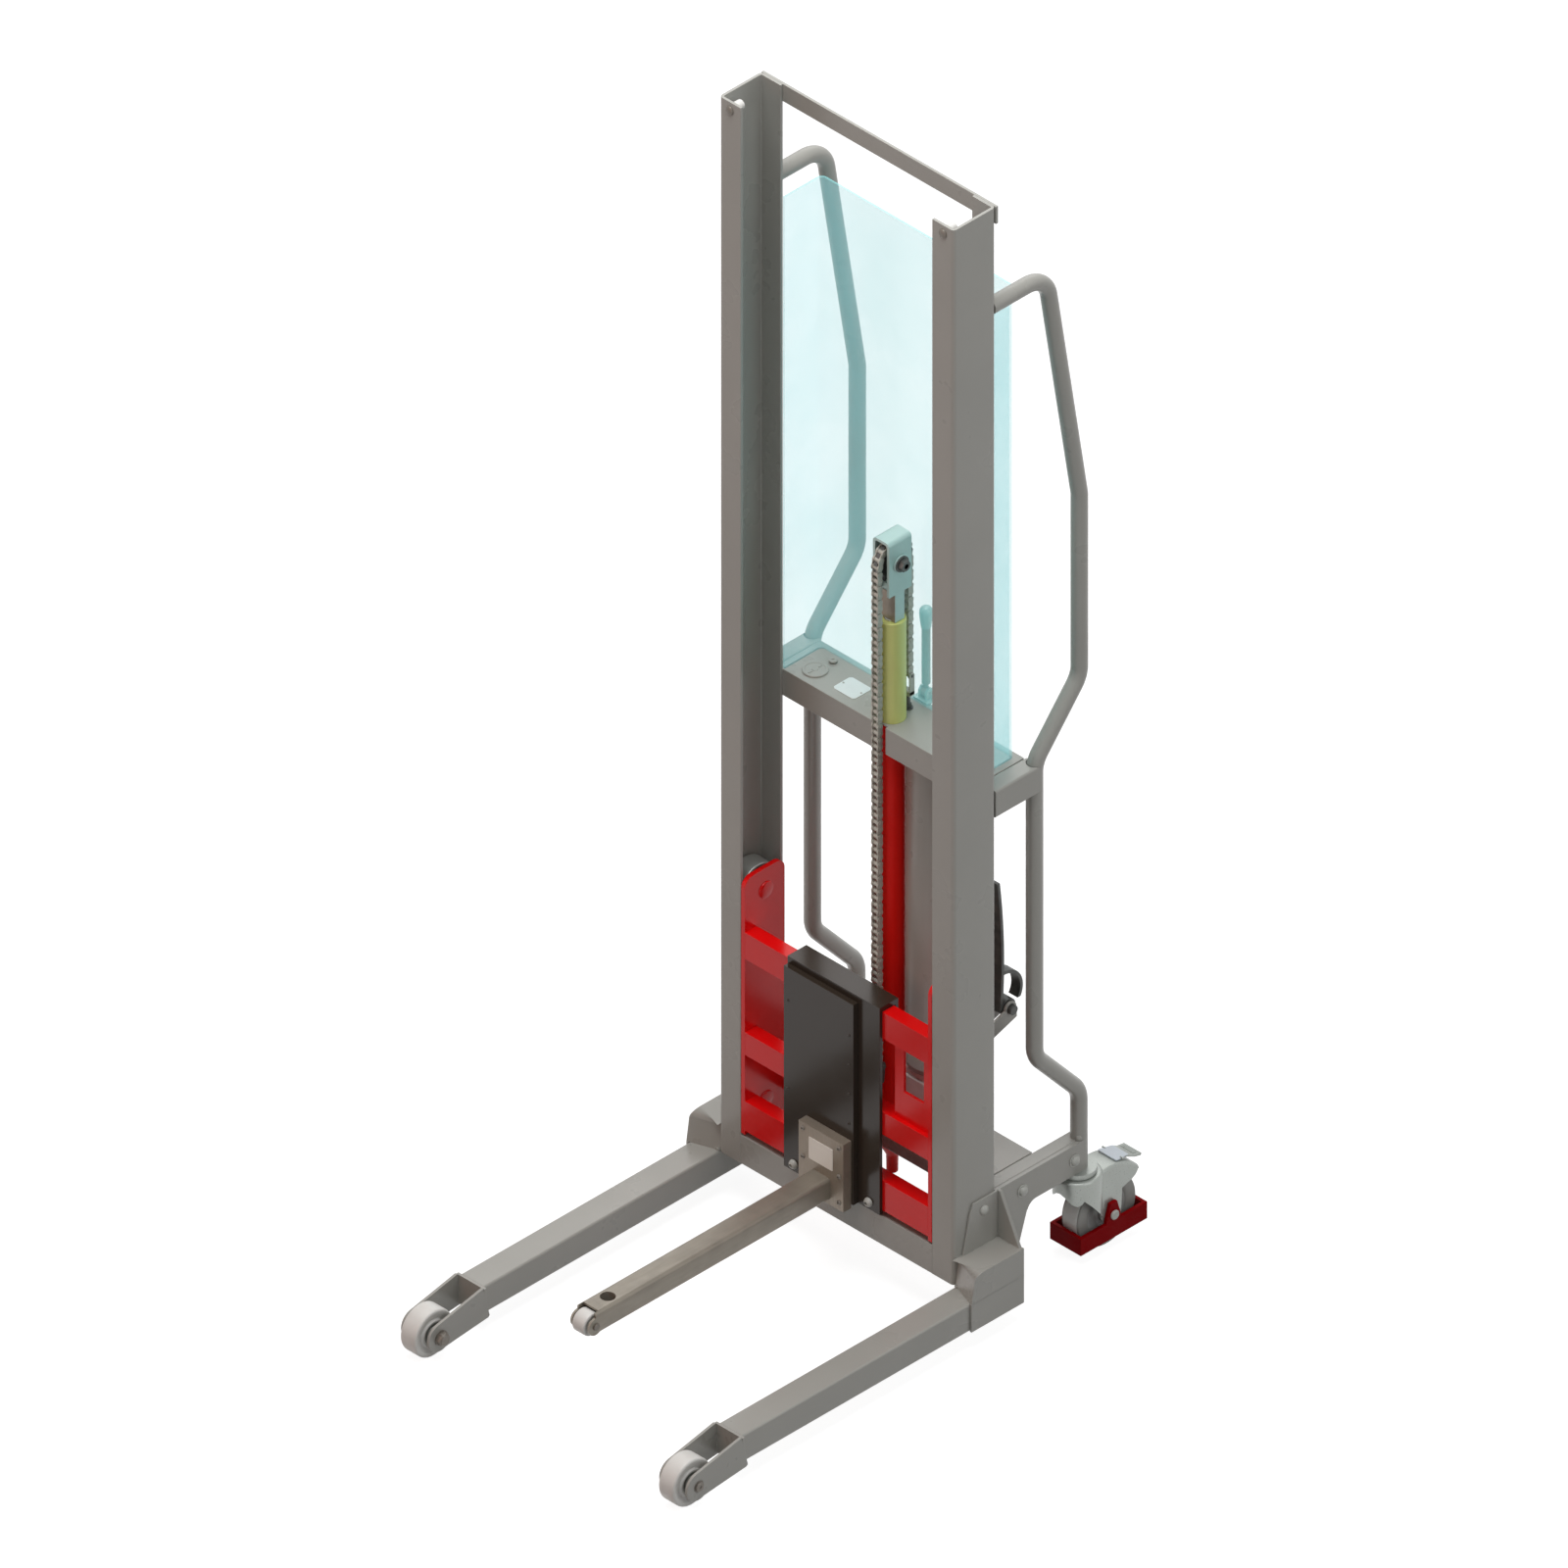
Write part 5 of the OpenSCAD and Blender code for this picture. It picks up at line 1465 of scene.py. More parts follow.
@dataclass
class Chain(Assembly):
    """The lifting chain: real links on both strands and round the wheel.

    The lift is 54 pitches, three times a set of 18. Four equal sets make each strand. On the rear strand they
    lie in each other at rest; on the front strand they make a whole strand at rest. The first set rides on
    one body and the last on another; the two between have their places baked into their meshes.
    """

    pitch: float = 12.7
    set_size: int = 18
    sets: int = 4
    plate_height: float = 11.8
    plate_wall: float = 1.5
    width: float = 15.0
    roller_radius: float = 4.25
    pin_radius: float = 2.2
    nest: float = 0.02
    play: float = 0.1
    teeth: int = 16

    @property
    def radius(self) -> float:
        """Radius of the pins round the wheel: pitch / (2 * sin(180 / teeth))."""
        return self.pitch / (2 * math.sin(math.pi / self.teeth))

    def wheel_centre(self) -> tuple[float, float]:
        """Where the wheel's axle lies along Y and Z."""
        return tuple(self.cad.pivot("chain_wheel_spin")[1:])

    def link_plate(self, x: float) -> Solid:
        """One side plate between two pins: two round ends joined by a waist.

        Args:
            x: Where the plate starts.

        Returns:
            The plate, from pin number 0 up to the next.
        """
        r = self.plate_height / 2
        lower = arc((0, 0), r, 150, 390, 6)
        upper = arc((0, self.pitch), r, -30, 210, 6)
        waist = r * 0.78
        middle = self.pitch / 2
        outline = np.concatenate([lower, [(waist, middle)], upper, [(-waist, middle)]])
        return plate(outline, Plane.YZ, x, x + self.plate_wall)

    def link(self, inner: bool) -> list[Solid]:
        """The two plates of a link, an inner one between the plates of the outer ones."""
        half, shift = self.width / 2, self.plate_wall + self.play if inner else 0
        return [self.link_plate(-half + shift), self.link_plate(half - self.plate_wall - shift)]

    def bearing(self, centre: Sequence[float]) -> list[Solid]:
        """The roller and the pin at a joint of the chain.

        Args:
            centre: Middle of the pin.

        Returns:
            The two shapes.
        """
        half, r, p = self.width / 2, self.roller_radius, self.pin_radius
        gap, end = half - 2 * self.plate_wall - self.play, half + 0.7
        roller = lathe([(-gap, r), (gap, r), (gap, 0.0), (-gap, 0.0)], centre, Axis.X, 12)
        return [roller, lathe([(-end, 0), (-end, p), (end, p), (end, 0)], centre, Axis.X, 8)]

    def pair(self) -> Solid:
        """Two pitches of chain, upwards: an outer link, then an inner one, with two pins.

        Returns:
            The links, with pin number 0 at the origin.
        """
        inner = [solid.moved((0, 0, self.pitch)) for solid in self.link(True)]
        pins = self.bearing((0, 0, 0)) + self.bearing((0, 0, self.pitch))
        return joined(*self.link(False), *inner, *pins)

    def strand(self, y: float, top: float, start: int, count: int, shrink: float = 0.0) -> Solid:
        """Links between pins that hang below a height, from pin number start down.

        Args:
            y: Where the strand hangs.
            top: Height of pin number 0.
            start: Number of pitches above the strand.
            count: Number of pitches in it.
            shrink: Share by which the links are thinner, so that nested sets don't touch.

        Returns:
            The links.
        """
        steps = np.arange(start, start + count, 2)
        offsets = np.stack([steps * 0, steps * 0, top - (steps + 2) * self.pitch], 1).astype(float)
        one = self.pair()
        one = Solid(one.points * [1 - shrink, 1 - shrink, 1], one.faces)
        return one.repeated(offsets).moved((0, y, 0))

    def build(self) -> None:
        """Makes the half turn over the wheel and the sets of both strands."""
        y, z = self.wheel_centre()
        self.half_turn()
        for i in range(self.sets):
            thinner = self.nest * (self.sets - 1 - i)
            front = self.strand(y - self.radius, z, i * self.set_size, self.set_size, thinner)
            replaces = ["chain_front"] if i == 0 else []
            body = self.ride_of(i, "lift_ram", "carriage")
            self.shop.make(f"chain_front_set_{i}", front, Finish.CHAIN, body, replaces, crease=40)
            rear = self.strand(y + self.radius, z, 0, self.set_size, thinner)
            replaces = ["chain_rear"] if i == 0 else []
            body = self.ride_of(i, CHASSIS, "lift_ram")
            self.shop.make(f"chain_rear_set_{i}", rear, Finish.CHAIN, body, replaces, crease=40)
        self.anchor()
        self.clevis()

    def ride_of(self, i: int, first: str, second: str) -> Body:
        """What a set rides on: the first body or the second; a set between gets a share, which only bakes its
        place.

        Args:
            i: Number of the set.
            first: The body that the first set rides on.
            second: The body that the last set rides on.

        Returns:
            A body, or (first, second, share).
        """
        last = self.sets - 1
        if i == 0:
            return first
        return second if i == last else (first, second, i / last)

    def half_turn(self) -> None:
        """Makes the eight links over the wheel, each a chord between two tooth gaps."""
        y, z = self.wheel_centre()
        radius, step, count = self.radius, 360 / self.teeth, self.teeth // 2
        links = []
        for k in range(count):
            one = joined(*self.link(k % 2 == 1)).moved((0, y - radius, z))
            one = one.rotated(-step / 2, Axis.X, (0, y - radius, z))
            links.append(one.rotated(-k * step, Axis.X, (0, y, z)))
        for k in range(count + 1):
            angle = math.radians(180 - k * step)
            links += self.bearing((0, y + radius * math.cos(angle), z + radius * math.sin(angle)))
        self.shop.make("chain_over_wheel", joined(*links), Finish.CHAIN, "lift_ram", ["chain_top"], crease=40)

    def anchor(self) -> None:
        """Makes the anchor on the deck: a fork on a threaded rod with its nut."""
        bottom = self.cad.low("chain_anchor")[2]
        y, z = self.wheel_centre()
        rear, pin = y + self.radius, z - self.set_size * self.pitch
        nut = hex_bolt((0, rear, bottom), Axis.Z, 6.5, 9)
        thread = threaded((0, rear, bottom + 8), Axis.Z, 20, 4.2, 1.5)
        side, deep, wall = self.width / 2 + 2.4, 5.4, 1.8
        cheek = rounded(oblong((rear - deep, bottom + 28), (rear + deep, pin + 5)), [1, 1, 5, 5])
        cheeks = [plate(cheek, Plane.YZ, x, x + wall) for x in (-side, side - wall)]
        bridge = block((-side, rear - deep, bottom + 26), (side, rear + deep, bottom + 34))
        bolt = rod((-side - 1.2, rear, pin), Axis.X, 2 * side + 2.4, 2.4, 0.4)
        self.shop.make("anchor_fork", joined(*cheeks, bridge), Finish.CHAIN, CHASSIS, bevel=0.5)
        self.shop.make("anchor_bolt", joined(nut, thread, bolt), Finish.DARK, CHASSIS, ["chain_anchor"])

    def clevis(self) -> None:
        """Makes the clevis on the carriage and its pin."""
        low, high = self.cad.ends("chain_clevis")
        y, z = self.wheel_centre()
        front, pin, wall = y - self.radius, z - self.sets * self.set_size * self.pitch, 3.4
        corners = [(low[1], low[2]), (high[1] - 2, low[2]), (high[1], high[2] - 6), (high[1], pin + 6),
                   (front - 6, pin + 6), (front - 14, high[2] - 6), (low[1], high[2] - 8)]
        cheek = rounded(corners, [0, 3, 3, 4, 4, 6, 0])
        cheeks = [plate(cheek, Plane.YZ, x, x + wall) for x in (low[0], high[0] - wall)]
        shelf = block((low[0] + wall, low[1], low[2] + 4), (high[0] - wall, high[1] - 4, low[2] + 12))
        self.shop.make("carriage_clevis", joined(*cheeks, shelf), Finish.DARK, "carriage", ["chain_clevis"],
                       bevel=0.5)
        bolt = joined(rod((low[0] - 1, front, pin), Axis.X, high[0] - low[0] + 2, 2.4, 0.4),
                      hex_bolt((high[0], front, pin), Axis.X, 4.5, 4))
        self.shop.make("carriage_clevis_pin", bolt, Finish.DARK, "carriage")


@dataclass
class Hydraulics(Assembly):
    """The oil tank, pump block and foot pedal, and the release lever."""

    weld: float = 1.6
    block_half: float = 43.0
    lever_foot: float = 4.0
    lever_rod: float = 6.8
    lever_knob: float = 10.5
    lever_grip: float = 39.0

    def build(self) -> None:
        """Makes the tank, the pump, the pedal and the lever."""
        self.tank()
        self.pump()
        self.shop.soften("pedal_bracket", Finish.GREY, CHASSIS, 1.0)
        self.shop.soften("pump_pedal", Finish.KNOB, "foot_pump", 0.9)
        self.lever()

    def tank(self) -> None:
        """Makes the tank: a tube with rolled-in ends, a seam at each and a drain plug."""
        cad = self.cad
        low, high = cad.ends("oil_tank")
        x, y = cad.middle("oil_tank")[:2]
        r, length, w = (high[0] - low[0]) / 2, high[2] - low[2], self.weld
        seam = [(9, r - 0.7), (10, r), (12, r), (13, r - 0.7)]
        profile = [(0, 0), (0, r - 6), (1.8, r - 1.8), (6, r - 0.7), *seam]
        profile += [(length - z, radius) for z, radius in profile[::-1]][:-1] + [(length, 0)]
        tank = lathe(profile, (x, y, low[2]), Axis.Z, 96)
        self.shop.make("tank", tank, Finish.GREY, CHASSIS, ["oil_tank"], crease=50)
        profile = [(0, 0), (0, 9), (-w, 9.4), (-2 * w, 9), (-2 * w, 7.2), (-7, 7.2), (-8, 6), (-8, 0)]
        plug = lathe(profile, (x - 22, y, low[2]), Axis.Z, 36, hexed=(4, 5))
        self.shop.make("tank_plug", plug, Finish.BOLT, CHASSIS)

    def pump(self) -> None:
        """Makes the pump block, its side cylinder and the screws of its lid."""
        cad = self.cad
        low, high = cad.ends("pump_block")
        x, y = cad.middle("oil_tank")[:2]
        right = x + self.block_half
        body = block(low, (right, high[1], high[2] - 14))
        lid = block((low[0] + 3, low[1] + 3, high[2] - 13.2), (right - 3, high[1] - 3, high[2]))
        # The pump's near-white steel is partly painted light against its shade.
        self.shop.make("pump_body", body, Finish.BLOCK, CHASSIS, ["pump_block"], bevel=2.4, segments=3)
        self.shop.make("pump_lid", lid, Finish.BLOCK, CHASSIS, bevel=1.8, segments=3)
        z, end = (low[2] + high[2]) / 2, high[0] - right
        profile = [(0, 0), (0, 18), (3, 18), (4, 16), (end - 5, 16), (end - 4, 14.5), (end, 13), (end, 5),
                   (end - 3, 4), (end - 3, 0)]
        boss = lathe(profile, (right, y, z), Axis.X, 48, hexed=(7, 8))
        self.shop.make("pump_cylinder", boss, Finish.BLOCK, CHASSIS)
        screws = [
            front_bolt(across, low[1] + 0.4, low[2] + up, 4.4, 3.2)
            for across in (low[0] + 6, right - 6) for up in (12, 86)
        ]
        self.shop.make("pump_screws", joined(*screws), Finish.DARK, CHASSIS)

    def lever(self) -> None:
        """Makes the release lever: a pin, an eye, a rod and a long knob."""
        cad = self.cad
        x, y, z = cad.pivot("lever_release")
        high = cad.high("release_lever")
        r, foot = self.lever_rod, self.lever_foot
        k, grip = self.lever_knob, self.lever_grip
        length = high[2] - z - grip
        pin = rod((x - 9.6, y, z), Axis.X, 19.2, 2.95, 0.4)
        profile = [(-4.6, 3), (-4.6, 7.6), (-4, 8), (4, 8), (4.6, 7.6), (4.6, 3)]
        eye = lathe(profile, (x, y, z), Axis.X, 40)
        profile = [(0, 0), (0, foot), (9, foot), (11, r - 0.6), (11.6, r), (length, r), (length, 0)]
        stick = lathe(profile, (x, y, z + 4), Axis.Z, 32)
        self.shop.make("lever_rod", joined(pin, eye, stick), Finish.GREY, "lever", ["release_lever"])
        turns = np.radians(np.arange(0, 90, 10))
        profile = [(0, 0), (0, r + 0.6), (1, r + 1.2), (12, k - 1.2), (grip - k - 4, k)]
        profile += [(grip - k + k * math.sin(a), k * math.cos(a)) for a in turns]
        profile.append((grip, 0))
        knob = lathe(profile, (x, y, high[2] - grip), Axis.Z, 40)
        self.shop.make("lever_knob", knob, Finish.HEAD, "lever", crease=50)


@dataclass
class Carriage(Assembly):
    """The red carriage and its guide rollers."""

    tread_edge: float = 3.2
    dish: float = 2.4
    bearing_radius: float = 20.0
    side_wall: float = 8.0
    pin_radius: float = 12.5
    pin_collar: float = 17.0

    def build(self) -> None:
        """Makes the plates and bars, the pins and the guide rollers."""
        self.shop.soften("carriage_sides", Finish.RED, "carriage", 1.0, 3)
        self.shop.soften("carriage_bars", Finish.RED, "carriage", 1.4, 3)
        self.shop.soften("carriage_back_plate", Finish.RED, "carriage", 0.7)
        self.rollers()

    def rollers(self) -> None:
        """Makes the guide rollers, their bearings, the pins in them and the pins' caps."""
        cad = self.cad
        inner = cad.high("carriage_sides")[0] - self.side_wall
        pins, caps = [], []
        for level in ("upper", "lower"):
            node = f"guide_roller_{level}_right"
            low, high = cad.ends(node)
            middle = cad.middle(node)
            radius, width = (high[2] - low[2]) / 2, high[0] - low[0]
            profile = Roller.tread(width, radius, self.bearing_radius, self.tread_edge, self.dish)
            self.shop.both(f"guide_{level}_tread", lathe(profile, middle, Axis.X, 88), Finish.ROLLER,
                           "guide_" + level + "_{}", replaces=["guide_roller_" + level + "_{}"], crease=40)
            bearing = lathe(Roller.bearing(width - 1, self.bearing_radius, 12.7), middle, Axis.X, 56)
            self.shop.both(f"guide_{level}_bearing", bearing, Finish.BOLT, "guide_" + level + "_{}")
            start, r, collar = inner + 1, self.pin_radius, self.pin_collar
            length = high[0] - start
            profile = [(0, 0), (0, r), (7.2, r), (7.2, collar), (8.4, collar), (8.4, r), (length - 0.8, r),
                       (length, r - 0.8), (length, 0)]
            pins.append(lathe(profile, (start, middle[1], middle[2]), Axis.X, 48))
            profile = [(0, 0), (0, 14), (-0.6, 14.6), (-1.6, 14.2), (-2, 13), (-2, 0)]
            caps.append(lathe(profile, (inner, middle[1], middle[2]), Axis.X, 48))
        self.shop.pair("guide_pins", joined(*pins), Finish.ZINC, "guide_roller_pins", "carriage")
        self.shop.both("guide_pin_caps", joined(*caps), Finish.RED, "carriage")


@dataclass
class Tool(Assembly):
    """The black tool plate with its cover, flange and boom."""

    flange_bolts: tuple[float, ...] = (14.0, 62.0, 114.0)
    tip_rise: float = 1.5
    tip_head: float = 6.0
    cover_screws: tuple[float, ...] = (30.0, 84.0, 138.0, 192.0)
    blank_height: float = 40.0
    slot_wall: float = 3.9
    bridge_start: float = 9.0

    def build(self) -> None:
        """Makes the plates, their screws, the boom and its roller."""
        self.shop.soften("tool_plate", Finish.BLACK, "carriage", 1.2, 3)
        self.shop.soften("tool_cover", Finish.BLACK, "carriage", 1.6, 3)
        self.shop.soften("boom_flange", Finish.PLATE, "carriage", 1.2, 3)
        self.shop.soften("boom", Finish.BOOM, "carriage", 0.7)
        self.screws()
        self.blank()
        self.tip()

    def screws(self) -> None:
        """Makes the flange's bolts, the two bolts of the plate and the cover's screws."""
        cad = self.cad
        cover_low, cover_high = cad.ends("tool_cover")
        flange_low, flange_high = cad.ends("boom_flange")
        bolts = [
            front_bolt(x, flange_low[1], flange_low[2] + up, 4.2, 2.6)
            for x in (flange_low[0] + 9, flange_high[0] - 9) for up in self.flange_bolts
        ]
        self.shop.make("flange_bolts", joined(*bolts), Finish.DULL, "carriage", ["tool_fasteners"])
        z = cad.low("carriage_bars")[2] + 7
        plate_bolts = [
            front_bolt(x, seat, z, 8, 7)
            for x, seat in ((-75, cover_low[1]), (75, cad.low("tool_plate")[1]))
        ]
        self.shop.make("tool_bolts", joined(*plate_bolts), Finish.BOLT, "carriage")
        small = [
            front_bolt(cover_high[0] - 9, cover_low[1], flange_high[2] + up, 2.6, 1.3)
            for up in self.cover_screws
        ]
        small += [
            front_bolt(cover_low[0] + 9, cover_low[1], flange_high[2] + up, 2.6, 1.3)
            for up in (self.cover_screws[0], self.cover_screws[-1])
        ]
        self.shop.make("cover_screws", joined(*small), Finish.BLACK, "carriage")

    def blank(self) -> None:
        """Makes the blank card on the flange."""
        low, high = self.cad.ends("boom_flange")
        left, right, top = low[0] + 22, high[0] - 22, high[2] - 19
        outline = rounded(oblong((left, top - self.blank_height), (right, top)), 2)
        blank = plate(outline, Plane.XZ, low[1] - 0.8, low[1])
        self.shop.make("flange_blank", blank, Finish.CARD, "carriage", bevel=0.25)

    def tip(self) -> None:
        """Makes the roller in the boom's tip, its pin with rings and the slot's bridge."""
        cad = self.cad
        low, high = cad.ends("tip_roller")
        middle = cad.middle("tip_roller")
        radius, width = (high[2] - low[2]) / 2 + self.tip_rise, high[0] - low[0]
        side = width / 2
        profile = [(-side, 5.3), (-side, 9), (-side + 1, 9.6), (-side + 1, radius - 4.5), (-side, radius - 4),
                   (-side, radius - 2), (-side + 0.7, radius - 0.7), (-side + 2, radius)]
        roller = lathe(Roller.mirror(profile), middle, Axis.X, 56)
        self.shop.make("tip_roller_finished", roller, Finish.NYLON, "boom_tip_roller", ["tip_roller"])
        boom = cad.high("boom")[0]
        h = self.tip_head
        profile = [(-boom - 3, 0), (-boom - 3, h - 0.6), (-boom - 2.4, h), (-boom, h), (-boom, 4.95)]
        pin = lathe(Roller.mirror(profile), (0, middle[1], middle[2]), Axis.X, 40)
        self.shop.make("tip_pin", pin, Finish.DULL, "carriage")
        top = cad.high("boom")[2]
        half, end = boom - self.slot_wall, middle[1] + (high[1] - low[1]) / 2 + 4.5
        bridge = block((-half, middle[1] + self.bridge_start, top - self.slot_wall), (half, end, top - 0.1))
        self.shop.make("tip_bridge", bridge, Finish.BOOM, "carriage", bevel=0.3)


@dataclass
class Casters(Assembly):
    """The two swivel casters with their brakes and red foot guards."""

    wall: float = 3.0
    crown: float = 38.0
    skirt: Table = ((0, 125), (15, 121), (32, 111), (45, 107.5), (54, 110), (62, 116.6), (68, 112), (80, 104),
                    (134, 61), (136, 138), (180, 138))
    cheek: float = 26.0
    hood_bend: float = 6.0
    roof: float = 83.5
    underside: Table = ((304, 62), (309, 52), (312, 50), (347, 50), (349.5, 96), (356, 98), (370, 102),
                        (377, 106), (381, 110), (383.5, 115), (384.6, 121))
    hood_rear: float = 384.8
    axle_reach: float = 33.0
    pad: tuple[float, float, float, float] = (41.0, 34.0, 30.0, 2.8)

    @property
    def stem(self) -> Array:
        """A point on the right caster's swivel axis."""
        return self.cad.pivot("caster_right_swivel")

    @property
    def hub(self) -> Array:
        """The middle of the right caster's axle."""
        return self.cad.pivot("caster_right_roll")

    def build(self) -> None:
        """Makes the parts of the right caster and their mirror images."""
        self.heads()
        self.skirts()
        self.hoods()
        self.wheels()
        self.brakes()
        self.guards()

    def heads(self) -> None:
        """Makes the fixed discs under the arms."""
        x, y = self.stem[:2]
        low = self.cad.high("caster_heads")[2] - 10
        profile = [(0, 0), (0, 27.5), (0.6, 29.2), (1.8, 30), (10, 30), (10, 0)]
        head = lathe(profile, (x, y, low), Axis.Z, 72)
        neck = lathe([(0, 0), (0, 9.5), (12, 9.5), (12, 0)], (x, y, low - 12), Axis.Z, 32)
        self.shop.pair("caster_head", joined(head, neck), Finish.ZINC, "caster_heads")

    def skirts(self) -> None:
        """Makes the round crown with the skirt that hangs from its front.

        The section is turned about the stem. Its lower edge follows a table of height
        against the angle from the front.
        """
        x, y = self.stem[:2]
        top = self.cad.high("caster_heads")[2] - 10.4
        angles = np.concatenate([np.arange(-180, -136, 6.0), [-136, -134], np.arange(-130, 131, 4.0),
                                 [134, 136], np.arange(142, 180, 6.0)])
        table = np.asarray(self.skirt, float)
        foot = np.interp(np.abs(angles), table[:, 0], table[:, 1])
        r, t = self.crown, self.wall
        upper = [(0, top), (33.5, top), (35.6, top - 0.4), (37.2, top - 1.6), (r, top - 3.6)]
        lower = [(r, 0.7), (r - 0.5, 0.15), (r - t + 0.5, 0.15), (r - t, 0.7)]
        inside = [(r - t, top - 5.5), (0, top - 5.5)]
        radii = np.array([radius for radius, _ in upper + lower + inside])[:, None]
        levels = [np.full(len(angles), z) for _, z in upper] + [foot + z for _, z in lower]
        levels += [np.full(len(angles), z) for _, z in inside]
        turn = np.radians(angles)
        points = np.stack([x + radii * np.sin(turn), y - radii * np.cos(turn), np.array(levels)], -1)
        shell = Solid(points.reshape(-1, 3), grid_faces(len(radii), len(angles), False, True))
        self.shop.both("caster_crown", shell, Finish.ZINC, "caster_{}", replaces=["caster_fork_{}"],
                       crease=38)
        seat = (x - 17, y - 34.2, 139)
        screw = front_bolt(*seat, 3.4, 2.4).rotated(-27, Axis.Z, seat)
        self.shop.both("caster_screw", screw, Finish.BOLT, "caster_{}")

    def hoods(self) -> None:
        """Makes the hood: an inverted U whose roof is an arch about the wheel's axle.

        At a distance d from the axle along Y the roof lies sqrt(roof * roof - d * d) above
        it. The lower edge follows a table of height against the place along Y.
        """
        stem, hub = self.stem, self.hub
        t, w, bend = self.wall, self.cheek, self.hood_bend
        table = np.asarray(self.underside, float)
        along = np.unique(np.concatenate([table[:, 0], np.arange(313, 382, 4.0), [self.hood_rear]]))
        foot = np.interp(along, table[:, 0], table[:, 1])
        roof = hub[2] + np.sqrt(self.roof**2 - (along - hub[1]) ** 2)
        turn = np.radians(np.linspace(180, 90, 7))
        cosine, sine = np.cos(turn), np.sin(turn)
        outer, inner = -w + bend + bend * cosine, -w + bend + (bend - t) * cosine
        across = np.concatenate([[-w], outer, -outer[::-1], [w, w - t], -inner, inner[::-1], [-w + t]])
        outer, inner = bend * sine, (bend - t) * sine
        rise = np.concatenate([[0], outer, outer[::-1], [0, 0], inner, inner[::-1], [0]])
        count = len(across)
        half = count // 2
        points = np.zeros((len(along), count, 3))
        points[..., 0] = stem[0] + across
        points[..., 1] = along[:, None]
        points[..., 2] = (roof - bend)[:, None] + rise
        points[:, [0, half - 1, half, -1], 2] = np.minimum(foot, roof - bend - 1)[:, None]
        faces = grid_faces(len(along), count, False, True)
        for start in (0, (len(along) - 1) * count):
            ring = [start + i for i in range(count)]
            faces += [
                (ring[i], ring[i + 1], ring[count - 2 - i], ring[count - 1 - i]) for i in range(half - 1)
            ]
        hood = Solid(points.reshape(-1, 3), faces)
        self.shop.both("caster_hood", hood, Finish.ZINC, "caster_{}", bevel=0.5, crease=40)

    def wheels(self) -> None:
        """Makes the wheels: a tyre with a lighter tread band that is painted light, a hub with a raised ring,
        a bearing and the axle.
        """
        cad = self.cad
        low, high = cad.ends("caster_wheel_right")
        width, radius = high[0] - low[0], (high[2] - low[2]) / 2 - 0.4
        x, (y, z) = self.stem[0], self.hub[1:]
        side = -width / 2
        shoulder = arc((side + 2.4, radius - 2.8), 2.4, 180, 90, 5)
        # The tread band takes a far lighter finish than the tyre's sides: painted light.
        band = [(side + 3, radius - 1.2), (side + 3.6, radius + 0.2), (side + 8, radius + 0.3),
                (-0.01, radius + 0.4)]
        tyre = [(side + 2.2, 40), (side + 0.8, 42), (side, 46), *shoulder.tolist(), (side + 8, radius - 0.1),
                (-0.01, radius)]
        core = [(side + 0.4, 15), (side + 0.4, 19), (side + 1.2, 20), (side + 5, 23), (side + 5.6, 26),
                (side + 5.6, 34), (side + 4.6, 37), (side + 2.6, 39.6), (side + 2.6, 40.2)]
        for name, half, finish, steps, crease in (
            ("tread", band, Finish.TREAD, 96, 50),
            ("tyre", tyre, Finish.WHEEL, 96, 50),
            ("core", core, Finish.HUB, 80, 45),
        ):
            shape = lathe(Roller.mirror(half), (x, y, z), Axis.X, steps)
            nodes = ["caster_wheel_{}"] if name == "tyre" else []
            self.shop.both("wheel_" + name, shape, finish, "wheel_{}", replaces=nodes, crease=crease)
        bearing = lathe(Roller.bearing(width, 15, 6.2), (x, y, z), Axis.X, 48)
        self.shop.both("wheel_bearing", bearing, Finish.BOLT, "wheel_{}")
        out = self.axle_reach
        head = lathe([(0, 0), (0, 7.4), (0.8, 8), (2.8, 8), (4, 7), (4, 0)], (x + out, y, z), Axis.X, 40)
        shaft = rod((x - out, y, z), Axis.X, 2 * out, 5.9)
        nut = hex_bolt((x - out, y, z), Axis.X, 7.6, -8)
        self.shop.both("wheel_axle", joined(head, shaft, nut), Finish.BOLT, "caster_{}")

    def brakes(self) -> None:
        """Makes the brake pedals on their pivots."""
        cad = self.cad
        low, high = cad.ends("brake_pedal_right")
        y, z = cad.pivot("brake_right_press")[1:]
        rear = high[1]
        corners = [(y - 4, z - 1.2), (y + 15, z - 4.4), (y + 27, z - 11), (rear, z - 13.4), (rear, z - 18.6),
                   (rear - 14, z - 14.8), (y + 12, z - 6.2), (y - 4, z - 4.4)]
        outline = rounded(corners, [2, 6, 5, 1.6, 1.6, 5, 8, 2])
        blade = plate(outline, Plane.YZ, low[0] + 4, high[0] - 4)
        ridge = block((low[0] + 8, rear - 4, z - 13.8), (high[0] - 8, rear - 2.4, z - 12.2))
        ridges = ridge.repeated([(0, -4 * i, 0.8 * i) for i in range(3)])
        front, back, depth, height = self.pad
        x, middle = self.stem[0], y + 2.5
        corners = [(x - front / 2, middle - depth / 2), (x + front / 2, middle - depth / 2),
                   (x + back / 2, middle + depth / 2), (x - back / 2, middle + depth / 2)]
        lid = plate(rounded(corners, 3), Plane.XY, z - height, z).rotated(-9.2, Axis.X, (0, middle, z))
        self.shop.both("brake_pad", lid.moved((0, 0, -1.6)), Finish.PAD, "brake_{}", bevel=1.0, segments=3)
        ends = ((low[0], 6), (high[0], -6))
        stubs = [rod((end, y, z - 1.4), Axis.X, reach, 1.6, 0.3) for end, reach in ends]
        self.shop.both("brake_blade", joined(blade, ridges), Finish.ZINC, "brake_{}",
                       replaces=["brake_pedal_{}"], bevel=0.7)
        self.shop.both("brake_shaft", joined(*stubs), Finish.ZINC, "brake_{}")

